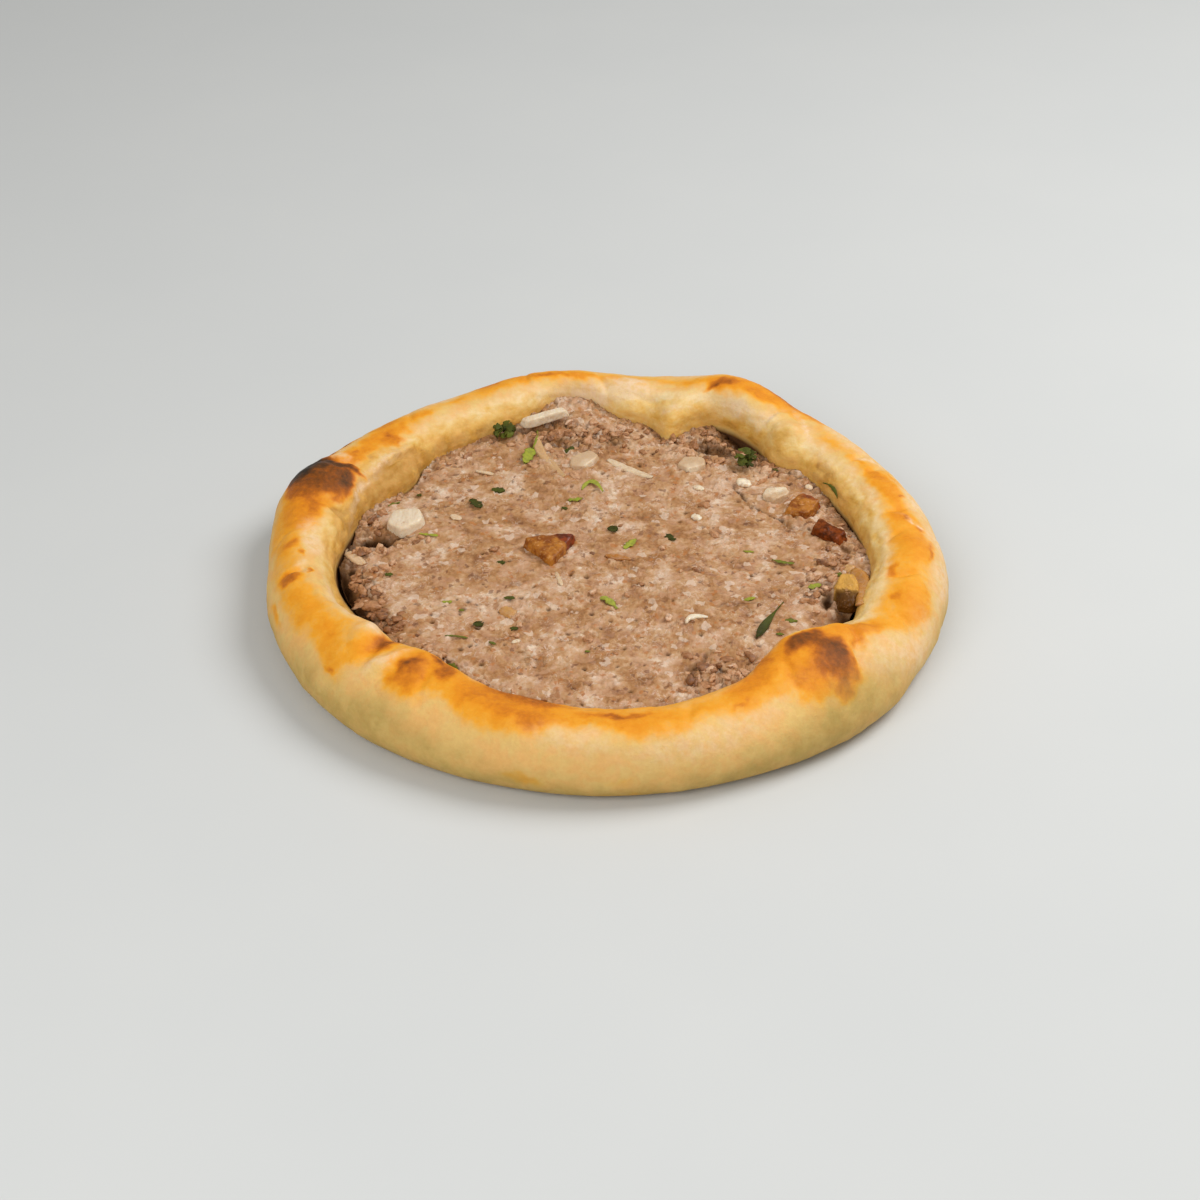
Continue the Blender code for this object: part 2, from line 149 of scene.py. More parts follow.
# Browning of the skin: angle, arc length, half lengths along and across, turn,
# sharpness of the patch's edge and how brown it is. The scale runs 0 pale cream,
# 0.5 golden, 0.8 brown, 1.0 dark brown, over 1.3 burnt. Where patches overlap,
# the browner one shows.
TOAST = (
    ("right_hump", 356.0, -0.8, 9.5, 3.8, 0.0, 2.6, 0.42),
    ("right_hump_line", 354.6, -3.9, 4.4, 0.9, -10.0, 1.2, 0.65),
    ("right_hump_dark", 1.4, -2.6, 2.2, 1.0, 24.0, 1.2, 0.68),
    ("right_crest", 6.4, 0.2, 4.0, 2.6, 0.0, 2.0, 0.50),
    ("right_crest_dark", 5.2, -0.6, 1.6, 0.8, -14.0, 1.0, 0.72),
    ("right_mid", 15.0, -0.1, 7.6, 2.4, 3.0, 2.2, 0.48),
    ("right_mid_dark", 12.0, -1.8, 1.4, 0.7, -20.0, 1.0, 0.73),
    ("right_high", 20.6, 0.2, 3.4, 2.0, 12.0, 1.6, 0.55),
    ("right_high_side", 19.6, -3.2, 4.0, 1.2, 24.0, 1.4, 0.42),
    ("right_back", 27.6, 0.9, 4.6, 1.2, 8.0, 1.6, 0.44),
    ("right_line", 35.0, 1.2, 5.0, 1.1, 0.0, 1.4, 0.34),
    ("back_right_line", 51.6, -3.9, 10.4, 2.2, -4.0, 2.2, 0.60),
    ("back_right_dark", 53.6, -4.5, 6.0, 1.2, -6.0, 1.4, 0.68),
    ("hump_back_right_gold", 56.0, -0.8, 5.6, 2.9, 6.0, 1.8, 0.50),
    ("hump_back_right_brown", 65.4, 0.9, 4.2, 1.7, 44.0, 1.8, 0.80),
    ("hump_back_right_dark", 66.4, 1.9, 1.5, 1.0, 50.0, 1.2, 0.88),
    ("back_tongue", 73.5, 0.2, 6.0, 1.5, 0.0, 1.6, 0.36),
    ("back_crest_right", 85.0, -0.8, 5.6, 0.9, 0.0, 1.4, 0.40),
    ("back_crest", 97.0, 0.0, 11.0, 1.2, 0.0, 1.8, 0.50),
    ("back_spot", 103.0, 0.0, 2.6, 1.1, 0.0, 1.2, 0.66),
    ("back_left_outer", 113.4, -3.2, 4.4, 2.4, 10.0, 2.0, 0.54),
    ("back_left_dark", 115.0, -3.9, 1.6, 1.4, 0.0, 1.2, 0.63),
    ("back_left_line", 122.6, -1.0, 4.2, 1.3, 0.0, 1.4, 0.42),
    ("back_left_low", 131.6, -0.4, 3.4, 1.7, 0.0, 1.6, 0.49),
    ("back_left_high", 140.0, -2.3, 4.2, 1.5, 0.0, 1.8, 0.56),
    ("back_left_slope", 138.0, 1.0, 3.4, 1.4, 58.0, 1.6, 0.52),
    ("back_left_blotch", 143.4, 2.4, 3.6, 2.4, 14.0, 2.0, 0.66),
    ("back_left_blotch_dark", 142.6, 1.4, 1.5, 1.0, 10.0, 1.0, 0.79),
    ("back_left_gold", 152.4, 1.8, 5.2, 2.3, 4.0, 2.2, 0.56),
    ("back_left_gold_dark", 152.6, 1.0, 1.8, 1.0, 10.0, 1.0, 0.66),
    ("burnt_line", 150.6, -4.7, 6.4, 1.2, 8.0, 1.2, 1.00),
    ("burnt_cap", 160.6, -4.4, 6.8, 4.3, 10.0, 2.2, 1.44),
    ("burnt_cap_low", 160.4, -0.8, 4.4, 3.0, 0.0, 1.6, 1.14),
    ("burnt_edge", 158.6, 2.4, 1.8, 5.0, 4.0, 1.6, 1.16),
    ("burnt_brown", 164.0, 1.8, 6.6, 6.4, 8.0, 2.6, 0.98),
    ("burnt_brown_low", 162.4, 5.0, 3.2, 2.2, 20.0, 1.6, 1.04),
    ("burnt_brown_side", 168.4, -2.4, 4.0, 3.8, 0.0, 1.8, 0.88),
    ("left_below_burnt", 174.4, -1.6, 7.4, 4.6, 0.0, 2.4, 0.53),
    ("left_below_dark", 172.0, 0.8, 4.2, 2.8, 0.0, 1.2, 0.74),
    ("left_side", 177.0, -6.8, 8.0, 2.2, 6.0, 1.6, 0.34),
    ("left_high", 185.4, -3.0, 6.4, 3.0, 0.0, 1.8, 0.38),
    ("left_patch_high", 184.6, -2.2, 1.6, 1.8, 30.0, 1.6, 0.62),
    ("left_patch_mid", 187.2, -0.1, 1.5, 0.8, 0.0, 1.6, 0.64),
    ("left_mark", 193.0, 1.1, 1.1, 0.6, 0.0, 1.2, 0.74),
    ("left_deep", 194.6, -3.2, 2.2, 2.7, -14.0, 1.8, 0.74),
    ("left_golden", 205.4, -3.6, 10.6, 2.9, -3.0, 2.6, 0.43),
    ("left_golden_low", 214.0, -6.0, 9.0, 3.0, -20.0, 2.4, 0.43),
    ("left_golden_end", 219.4, -2.6, 4.4, 2.6, 30.0, 1.8, 0.42),
    ("left_spot", 219.2, -9.0, 1.6, 0.8, 8.0, 1.4, 0.68),
    ("left_smear", 198.6, -9.2, 3.2, 1.1, 0.0, 1.4, 0.44),
    ("pleat_brown", 221.8, 1.2, 2.8, 4.6, 28.0, 1.6, 0.76),
    ("pleat_dark", 221.6, 2.2, 1.3, 3.0, 28.0, 1.2, 0.86),
    ("knob_ring", 232.2, -4.8, 4.6, 4.8, 0.0, 1.8, 0.66),
    ("knob_brown", 231.2, -3.4, 3.0, 3.4, 0.0, 1.4, 0.84),
    ("knob_dark", 230.8, -3.0, 2.0, 1.9, 0.0, 1.0, 0.96),
    ("knob_tail", 237.4, 0.2, 3.2, 3.0, 14.0, 1.6, 0.76),
    # Browning with painted shade in the crevice at the knob's end.
    ("knob_tail_crevice_shade", 234.6, 1.4, 1.6, 1.4, 20.0, 1.2, 0.98),
    ("front_band_high", 245.0, -2.8, 5.4, 2.6, 8.0, 1.6, 0.38),
    ("front_band", 250.5, 0.8, 12.4, 4.2, 0.0, 3.0, 0.56),
    ("front_band_mid", 256.6, -1.6, 3.2, 2.6, 0.0, 1.6, 0.62),
    ("front_band_inner", 254.0, 4.4, 11.0, 3.1, 0.0, 2.2, 0.79),
    ("front_band_dark", 252.6, 5.6, 6.4, 1.8, 0.0, 1.4, 0.90),
    ("front_mid", 276.4, 1.0, 6.6, 2.5, 0.0, 2.6, 0.45),
    ("front_mid_bump", 278.0, -1.4, 2.2, 1.4, 0.0, 1.6, 0.44),
    ("front_mid_line", 272.0, 2.9, 7.6, 1.3, 0.0, 1.4, 0.79),
    ("front_right_line", 287.4, 0.6, 5.0, 1.4, -4.0, 1.6, 0.40),
    ("front_right_spot", 293.4, -1.0, 2.6, 0.9, 10.0, 1.2, 0.60),
    ("front_right", 298.6, 2.4, 7.6, 3.6, -10.0, 2.6, 0.54),
    ("front_right_dark", 303.4, 3.6, 3.4, 2.6, -10.0, 1.4, 0.66),
    ("knuckle_gold", 307.0, -4.6, 4.4, 7.4, 0.0, 2.2, 0.56),
    ("knuckle_brown", 313.4, -6.4, 5.0, 7.6, -14.0, 2.4, 0.86),
    ("knuckle_dark", 315.0, -5.2, 3.6, 5.4, -16.0, 1.4, 0.98),
    ("knuckle_rim", 312.6, -0.4, 6.0, 2.4, 0.0, 1.8, 1.06),
    ("knuckle_tip", 311.6, -12.0, 2.2, 2.8, 0.0, 1.4, 0.78),
    ("shoulder_gold", 325.0, -2.4, 7.6, 2.2, 38.0, 2.2, 0.54),
    ("shoulder_dark", 320.4, -5.6, 1.8, 1.0, 38.0, 1.2, 0.66),
    ("right_low", 338.8, -3.0, 6.2, 4.4, 0.0, 2.8, 0.46),
    ("right_low_spot", 338.0, 0.2, 2.6, 1.2, 0.0, 1.4, 0.62),
    ("right_low_inner", 346.4, 2.8, 3.6, 1.5, -14.0, 1.6, 0.62),
    ("right_low_join", 345.6, -0.6, 4.0, 2.6, 0.0, 1.8, 0.39),
    ("base_patch_left", 257.4, -12.4, 3.4, 1.6, 0.0, 1.4, 0.42),
    ("base_patch_front", 273.0, -14.2, 5.2, 1.4, 0.0, 1.4, 0.42),
    ("base_patch_middle", 272.0, -10.6, 3.0, 0.9, 0.0, 1.2, 0.26),
)

# The golden band that runs all round the top: angle, arc length of its outer and
# its inner edge, and how brown it is there.
BAND = (
    (0.0, -4.2, 4.0, 0.47),
    (5.0, -3.6, 3.4, 0.49),
    (9.0, -1.8, 2.6, 0.45),
    (14.0, -2.2, 2.6, 0.48),
    (19.0, -3.0, 2.4, 0.50),
    (23.0, -1.6, 2.2, 0.44),
    (28.0, -0.4, 2.4, 0.40),
    (36.0, -0.8, 2.2, 0.34),
    (40.0, -2.0, 0.0, 0.32),
    (44.0, -6.5, -1.8, 0.50),
    (50.0, -7.0, 0.2, 0.54),
    (56.0, -7.0, 1.8, 0.52),
    (61.0, -7.0, 2.6, 0.58),
    (66.0, -2.6, 3.2, 0.60),
    (70.0, -2.2, 1.4, 0.48),
    (78.0, -2.0, 1.2, 0.40),
    (86.0, -1.6, 0.8, 0.44),
    (95.0, -2.0, 1.4, 0.52),
    (103.0, -2.4, 1.2, 0.58),
    (108.0, -4.6, 1.2, 0.54),
    (115.0, -6.5, 0.8, 0.52),
    (120.0, -3.0, 1.0, 0.36),
    (126.0, -1.6, 0.8, 0.35),
    (131.0, -2.4, 1.6, 0.43),
    (138.0, -4.0, 2.4, 0.54),
    (144.0, -2.2, 4.6, 0.56),
    (151.0, -1.0, 4.2, 0.50),
    (157.0, -2.0, 4.6, 0.52),
    (165.0, -6.0, 7.0, 0.62),
    (171.0, -6.5, 5.4, 0.58),
    (176.0, -7.0, 3.0, 0.53),
    (181.0, -6.6, 0.4, 0.44),
    (188.0, -6.4, -0.8, 0.40),
    (194.0, -6.4, 0.0, 0.46),
    (200.0, -6.8, 0.4, 0.43),
    (206.0, -7.8, 0.9, 0.43),
    (212.0, -9.0, 1.2, 0.42),
    (217.0, -9.2, 0.0, 0.40),
    (221.0, -7.0, 4.6, 0.54),
    (225.0, -3.4, 4.6, 0.40),
    (228.0, -7.6, 2.0, 0.50),
    (232.0, -8.6, 2.4, 0.58),
    (236.0, -7.0, 4.0, 0.56),
    (241.0, -4.4, 7.0, 0.52),
    (248.0, -5.8, 8.0, 0.52),
    (256.0, -5.0, 8.0, 0.55),
    (262.0, -1.8, 8.0, 0.55),
    (267.0, -0.6, 9.0, 0.54),
    (272.0, -2.4, 9.0, 0.54),
    (279.0, -3.2, 9.0, 0.50),
    (285.0, -1.6, 9.0, 0.46),
    (291.0, -2.6, 9.0, 0.50),
    (299.0, -3.4, 8.0, 0.53),
    (304.0, -7.4, 8.0, 0.55),
    (308.0, -11.0, 6.0, 0.58),
    (312.0, -13.6, 3.0, 0.60),
    (316.0, -10.4, 2.0, 0.60),
    (320.0, -6.4, 1.0, 0.54),
    (325.0, -4.6, 1.6, 0.50),
    (330.0, -3.0, 3.6, 0.48),
    (334.0, -5.4, 3.8, 0.47),
    (340.0, -7.0, 3.2, 0.42),
    (345.0, -4.4, 4.4, 0.38),
    (351.0, -4.2, 4.8, 0.43),
    (357.0, -4.8, 4.6, 0.48),
)

# Painted light and shade of each side of the inner wall, added to its damp ochre: angle,
# and how much darker (plus) or lighter (minus) it is painted.
SIDE_LIGHT_AND_SHADE = (
    (0.0, -0.04),
    (20.0, -0.07),
    (40.0, -0.05),
    (62.0, -0.20),
    (92.0, -0.38),
    (108.0, -0.02),
    (122.0, 0.14),
    (146.0, 0.24),
    (166.0, 0.20),
    (186.0, 0.20),
    (206.0, 0.10),
    (250.0, 0.0),
    (320.0, 0.0),
)

# Ochre stains of the damp inner wall, and painted shade in its folds: the same columns as the browning.
STAINS_AND_FOLD_SHADE = (
    ("inner_blister", 44.6, 4.6, 2.9, 2.4, 0.0, 2.0, 0.50),
    ("right_wall_low", 22.0, 7.0, 8.0, 1.6, 0.0, 1.4, 0.40),
    ("right_wall_mid", 32.0, 6.4, 3.0, 2.0, 20.0, 1.4, 0.40),
    ("back_right_low", 58.0, 8.0, 8.0, 1.4, 0.0, 1.4, 0.35),
    ("back_fold", 80.0, 6.4, 5.0, 1.0, 0.0, 1.4, 0.40),
    ("back_left_low", 128.0, 7.6, 9.0, 1.2, 0.0, 1.4, 0.35),
    ("back_left_fold", 148.0, 7.3, 7.0, 0.8, 5.0, 1.4, 1.30),
    ("back_left_fold_high", 152.0, 4.2, 6.0, 0.6, 8.0, 1.4, 0.90),
    ("back_left_fold_low", 154.0, 9.8, 5.4, 1.4, 8.0, 1.4, 1.00),
    ("left_fold", 171.6, 4.6, 1.1, 3.8, -12.0, 1.4, 0.90),
    ("left_fold_low", 182.0, 4.4, 4.6, 0.7, 6.0, 1.4, 0.70),
    ("right_wall_fold", 14.0, 4.6, 6.0, 0.6, -8.0, 1.4, 0.80),
    ("right_wall_fold_low", 26.0, 8.4, 6.0, 0.7, 6.0, 1.4, 0.70),
)

# Flour and pale, unbaked-looking skin, with painted highlights on the blister's edge and the
# pleat's lip and painted light on the back inner wall: the same columns as the browning.
FLOUR_AND_PAINTED_LIGHT = (
    ("right_side", 12.4, -5.4, 5.4, 2.6, 0.0, 1.4, 0.90),
    ("right_low_side", 1.0, -7.4, 6.0, 3.2, 0.0, 1.4, 0.80),
    ("right_front_side", 351.0, -9.0, 8.0, 3.8, 0.0, 1.4, 0.85),
    ("pinch_side", 331.0, -8.8, 9.0, 4.2, 0.0, 1.4, 0.60),
    ("knuckle_side", 322.4, -10.4, 4.4, 4.4, 0.0, 1.4, 0.50),
    ("streak_low", 3.0, -2.3, 3.0, 0.50, 36.0, 1.0, 0.95),
    ("streak_high", 26.2, -1.8, 2.8, 0.8, 50.0, 1.2, 0.95),
    ("streak_mid", 14.6, -3.4, 3.4, 0.6, 10.0, 1.0, 0.70),
    ("back_right_side", 35.0, -2.8, 7.0, 2.3, 0.0, 1.4, 0.60),
    # Painted highlight along the inner blister's edge.
    ("inner_blister_rim", 43.4, 1.2, 5.0, 0.8, -27.0, 1.2, 1.00),
    ("inner_blister_side", 51.4, 3.4, 1.0, 3.2, -14.0, 1.2, 0.95),
    ("right_inner_upper", 18.0, 3.6, 14.0, 1.0, 0.0, 1.2, 0.28),
    ("right_inner_pale", 33.0, 4.6, 6.0, 1.8, -10.0, 1.4, 0.40),
    ("back_right_pale", 58.0, 5.0, 6.0, 1.4, 10.0, 1.2, 0.70),
    # back_inner and back_crest_inner: painted light on the back inner wall.
    ("back_inner", 85.4, 2.8, 6.2, 2.8, 0.0, 1.4, 0.95),
    ("back_inner_low", 74.0, 7.6, 2.6, 1.0, 10.0, 1.4, 0.60),
    ("back_crest_inner", 94.0, 4.4, 6.0, 2.6, 0.0, 1.4, 0.95),
    ("back_left_inner", 110.0, 3.2, 8.0, 1.8, 0.0, 1.4, 0.30),
    ("back_left_upper", 130.0, 3.4, 8.0, 1.6, 0.0, 1.4, 0.25),
    ("wall_streak_high", 151.0, 6.0, 7.0, 1.0, 6.0, 1.4, 0.80),
    ("wall_streak_low", 163.0, 8.6, 8.0, 0.8, 6.0, 1.4, 0.70),
    ("back_right_low", 70.0, -4.0, 5.0, 1.6, 0.0, 1.2, 0.50),
    ("back_left_side", 127.0, -3.8, 7.0, 1.6, 0.0, 1.4, 0.60),
    ("burnt_neighbour", 154.6, -1.4, 2.6, 1.1, 70.0, 1.2, 0.75),
    ("left_upper", 191.4, -0.2, 1.8, 1.2, 0.0, 1.2, 0.60),
    ("left_inner", 182.4, 1.8, 5.0, 2.2, 8.0, 1.4, 0.70),
    # Painted highlight on the pleat's lip.
    ("pleat_lip", 216.6, 1.6, 2.6, 2.0, 40.0, 1.6, 0.90),
    ("lip_left", 205.0, 2.2, 8.0, 0.9, -8.0, 1.4, 0.65),
    ("ridge_front_left", 226.2, -3.6, 1.4, 4.2, -24.0, 1.6, 0.55),
    ("front_side", 286.0, -5.0, 14.0, 2.8, 0.0, 1.4, 0.45),
    ("front_side_left", 265.0, -3.6, 7.0, 2.2, 0.0, 1.4, 0.40),
)

# ---------------------------------------------------------------- meat sizes
# Where the meat draws back from the rim: angle, half width (degrees), how far
# its edge is pulled in and dropped (mm).
CREVICES = (
    ("left", 196.0, 13.0, 1.3, 2.2),
    ("left_back", 176.0, 6.0, 0.7, 0.9),
    ("back_left", 146.0, 9.0, 0.4, 0.6),
    ("back_right", 57.0, 6.0, 1.3, 2.0),
    ("right_back", 14.0, 9.0, 0.6, 0.8),
    ("right_front", 331.0, 6.0, 1.8, 2.4),
    ("front_right", 292.0, 9.0, 0.5, 1.1),
)


def centre_of_outline():
    """Middle of the outline's bounding box, which lies at the origin."""
    angles = np.arange(OUTLINE_STEPS) * 360.0 / OUTLINE_STEPS
    r = section_sizes(angles)[0]
    x, y = r * np.cos(np.radians(angles)), r * np.sin(np.radians(angles))
    return (x.min() + x.max()) / 2, (y.min() + y.max()) / 2


def swell(angle, at, half):
    """1 at the named angle, falling smoothly to 0 beyond about two half widths."""
    away = (angle - at + 180.0) % 360.0 - 180.0
    return np.exp(-((away / half) ** 2))


def section_sizes(angle):
    """Outer radius, crest radius, crest height, well radius and meat height in mm."""
    angle = np.asarray(angle, float)
    sizes = [np.full(angle.shape, v) for v in (OUTER_R, CREST_R, CREST_Z, WELL_R, WELL_Z)]
    for _, at, half, *adds in FOLDS:
        share = swell(angle, at, half)
        for i, add in enumerate(adds):
            sizes[i] = sizes[i] + share * add
    return sizes


CENTRE = centre_of_outline()


# --------------------------------------------------------------------- noise
def hashed(ix, iy, iz, seed):
    h = (ix * 374761393 + iy * 668265263 + iz * 1442695041 + seed * 1274126177) & 0xFFFFFFFF
    h = ((h ^ (h >> 13)) * 1274126177) & 0xFFFFFFFF
    return h ^ (h >> 16)


def waves(x, y, z, size, seed=0):
    """Smooth noise of about -1 to 1 with features of the given size."""
    p = [np.asarray(v, float) / size for v in np.broadcast_arrays(x, y, z)]
    cell = [np.floor(v).astype(np.int64) for v in p]
    f = [v - c for v, c in zip(p, cell)]
    u = [v * v * v * (v * (v * 6 - 15) + 10) for v in f]
    total = np.zeros(p[0].shape)
    for dx in (0, 1):
        for dy in (0, 1):
            for dz in (0, 1):
                h = hashed(cell[0] + dx, cell[1] + dy, cell[2] + dz, seed)
                gx = (h & 1023) / 511.5 - 1
                gy = ((h >> 10) & 1023) / 511.5 - 1
                gz = ((h >> 20) & 1023) / 511.5 - 1
                dot = gx * (f[0] - dx) + gy * (f[1] - dy) + gz * (f[2] - dz)
                weight = (
                    (u[0] if dx else 1 - u[0])
                    * (u[1] if dy else 1 - u[1])
                    * (u[2] if dz else 1 - u[2])
                )
                total += weight * dot
    return total * 1.5


def grains(x, y, size, seed=0):
    """Distance to the nearest and second nearest of scattered points, over the size, and a number for each point."""
    px, py = np.asarray(x, float) / size, np.asarray(y, float) / size
    cx, cy = np.floor(px).astype(np.int64), np.floor(py).astype(np.int64)
    first = np.full(px.shape, 9.0)
    second = np.full(px.shape, 9.0)
    label = np.zeros(px.shape)
    for dx in (-1, 0, 1):
        for dy in (-1, 0, 1):
            h = hashed(cx + dx, cy + dy, 7, seed)
            qx = cx + dx + 0.5 + 0.8 * ((h & 1023) / 1023 - 0.5)
            qy = cy + dy + 0.5 + 0.8 * (((h >> 10) & 1023) / 1023 - 0.5)
            d = np.hypot(px - qx, py - qy)
            nearer = d < first
            second = np.where(nearer, first, np.minimum(second, d))
            label = np.where(nearer, ((h >> 20) & 1023) / 1023, label)
            first = np.minimum(first, d)
    return first, second, label


def ramp(value, low, high):
    t = np.clip((value - low) / (high - low), 0, 1)
    return t * t * (3 - 2 * t)


def patch(angle, arc, at, arc_at, along, across, turn, edge=1.0):
    """1 in the middle of an ellipse on the rim's surface, falling to 0 past its edge."""
    u = ((angle - at + 180.0) % 360.0 - 180.0) * math.pi / 180 * 56.0
    v = arc - arc_at
    c, s = math.cos(math.radians(turn)), math.sin(math.radians(turn))
    q = ((u * c + v * s) / along) ** 2 + ((v * c - u * s) / across) ** 2
    return np.exp(-(q**edge))


# -------------------------------------------------------------------- meshes
def mesh_of(name, verts, faces):
    """Mesh from arrays of points in mm and of faces with the same number of corners."""
    verts = np.asarray(verts, np.float64) * MM
    faces = np.asarray(faces, np.int32)
    mesh = bpy.data.meshes.new(name)
    mesh.vertices.add(len(verts))
    mesh.vertices.foreach_set("co", verts.astype(np.float32).ravel())
    corners = faces.shape[1]
    mesh.loops.add(faces.size)
    mesh.loops.foreach_set("vertex_index", faces.ravel())
    mesh.polygons.add(len(faces))
    mesh.polygons.foreach_set("loop_start", np.arange(len(faces), dtype=np.int32) * corners)
    mesh.update(calc_edges=True)
    mesh.validate()
    mesh.shade_smooth()
    return mesh


def add_piece(name, mesh, material, replaces=()):
    obj = bpy.data.objects.new(name, mesh)
    mesh.materials.append(material)
    bpy.context.scene.collection.objects.link(obj)
    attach(obj, "root")
    if replaces:
        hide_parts(*replaces)
    return obj


def paint(mesh, name, values):
    layer = mesh.attributes.new(name, "FLOAT", "POINT")
    layer.data.foreach_set("value", np.asarray(values, np.float32).ravel())


def band_faces(rows, around):
    """Quads between closed rings of vertices numbered row by row."""
    i = np.arange(around)
    j = (i + 1) % around
    quads = []
    for k in range(rows - 1):
        a, b = k * around, (k + 1) * around
        quads.append(np.stack([a + i, a + j, b + j, b + i], 1))
    return np.concatenate(quads)


# --------------------------------------------------------------------- nodes
class Shader:
    """Small helper that wires a Principled material."""

    def __init__(self, name, roughness, **sockets):
        self.material = bpy.data.materials.new(name)
        self.material.use_nodes = True
        self.tree = self.material.node_tree
        self.shader = self.tree.nodes["Principled BSDF"]
        self.set(Roughness=roughness, **sockets)
        self.where = self.tree.nodes.new("ShaderNodeTexCoord").outputs["Object"]

    def set(self, **sockets):
        for key, value in sockets.items():
            self.shader.inputs[key.replace("_", " ")].default_value = value

    def link(self, a, b):
        self.tree.links.new(a, b)

    def noise(self, size_mm, detail=3.0, roughness=0.55, distortion=0.0, stretch=None):
        node = self.tree.nodes.new("ShaderNodeTexNoise")
        node.inputs["Scale"].default_value = 1000.0 / size_mm
        node.inputs["Detail"].default_value = detail
        node.inputs["Roughness"].default_value = roughness
        node.inputs["Distortion"].default_value = distortion
        if stretch:
            mapping = self.tree.nodes.new("ShaderNodeMapping")
            mapping.inputs["Scale"].default_value = stretch
            self.link(self.where, mapping.inputs["Vector"])
            self.link(mapping.outputs["Vector"], node.inputs["Vector"])
        else:
            self.link(self.where, node.inputs["Vector"])
        return node.outputs["Fac"]

    def bits(self, size_mm, bend_mm):
        """Three numbers that differ from one ragged bit of the surface to the next."""
        bend = self.tree.nodes.new("ShaderNodeTexNoise")
        bend.inputs["Scale"].default_value = 1000.0 / size_mm
        bend.inputs["Detail"].default_value = 2.0
        self.link(self.where, bend.inputs["Vector"])
        scaled = self.tree.nodes.new("ShaderNodeVectorMath")
        scaled.operation = "MULTIPLY_ADD"
        self.link(bend.outputs["Color"], scaled.inputs[0])
        scaled.inputs[1].default_value = (bend_mm * MM,) * 3
        self.link(self.where, scaled.inputs[2])
        node = self.tree.nodes.new("ShaderNodeTexVoronoi")
        node.inputs["Scale"].default_value = 1000.0 / size_mm
        self.link(scaled.outputs[0], node.inputs["Vector"])
        split = self.tree.nodes.new("ShaderNodeSeparateColor")
        self.link(node.outputs["Color"], split.inputs["Color"])
        return split.outputs["Red"], split.outputs["Green"], split.outputs["Blue"]

    def attribute(self, name):
        node = self.tree.nodes.new("ShaderNodeAttribute")
        node.attribute_name = name
        return node.outputs["Fac"]

    def math(self, operation, a, b=None, clamp=False):
        node = self.tree.nodes.new("ShaderNodeMath")
        node.operation = operation
        node.use_clamp = clamp
        for socket, value in zip(node.inputs, (a, b)):
            if value is None:
                continue
            if isinstance(value, (int, float)):
                socket.default_value = value
            else:
                self.link(value, socket)
        return node.outputs[0]

    def spread(self, value, low, high, to_low=0.0, to_high=1.0):
        node = self.tree.nodes.new("ShaderNodeMapRange")
        node.interpolation_type = "SMOOTHSTEP"
        node.inputs["From Min"].default_value = low
        node.inputs["From Max"].default_value = high
        node.inputs["To Min"].default_value = to_low
        node.inputs["To Max"].default_value = to_high
        self.link(value, node.inputs["Value"])
        return node.outputs["Result"]

    def colours(self, value, stops):
        node = self.tree.nodes.new("ShaderNodeValToRGB")
        band = node.color_ramp
        while len(band.elements) > 1:
            band.elements.remove(band.elements[-1])
        for i, (at, colour) in enumerate(stops):
            stop = band.elements[0] if i == 0 else band.elements.new(at)
            stop.position = at
            stop.color = (*linear(colour), 1.0)
        self.link(value, node.inputs["Fac"])
        return node.outputs["Color"]

    def mix(self, share, a, b, blend="MIX"):
        node = self.tree.nodes.new("ShaderNodeMix")
        node.data_type = "RGBA"
        node.blend_type = blend
        for key, value in ((0, share), (6, a), (7, b)):
            if isinstance(value, (int, float)):
                node.inputs[key].default_value = value
            elif isinstance(value, tuple):
                node.inputs[key].default_value = (*linear(value), 1.0)
            else:
                self.link(value, node.inputs[key])
        return node.outputs[2]

    def bump(self, height, strength, distance_mm):
        node = self.tree.nodes.new("ShaderNodeBump")
        node.inputs["Strength"].default_value = strength
        node.inputs["Distance"].default_value = distance_mm * MM
        self.link(height, node.inputs["Height"])
        previous = self.shader.inputs["Normal"].links
        if previous:
            self.link(previous[0].from_socket, node.inputs["Normal"])
        self.link(node.outputs["Normal"], self.shader.inputs["Normal"])

    def done(self, colour, roughness=None):
        self.link(colour, self.shader.inputs["Base Color"])
        if roughness is not None:
            self.link(roughness, self.shader.inputs["Roughness"])
        return self.material


def linear(colour):
    """Scene-linear values of a colour given as 0-255 display values."""
    out = []
    for v in colour:
        v = v / 255.0
        out.append(v / 12.92 if v <= 0.04045 else ((v + 0.055) / 1.055) ** 2.4)
    return tuple(out)


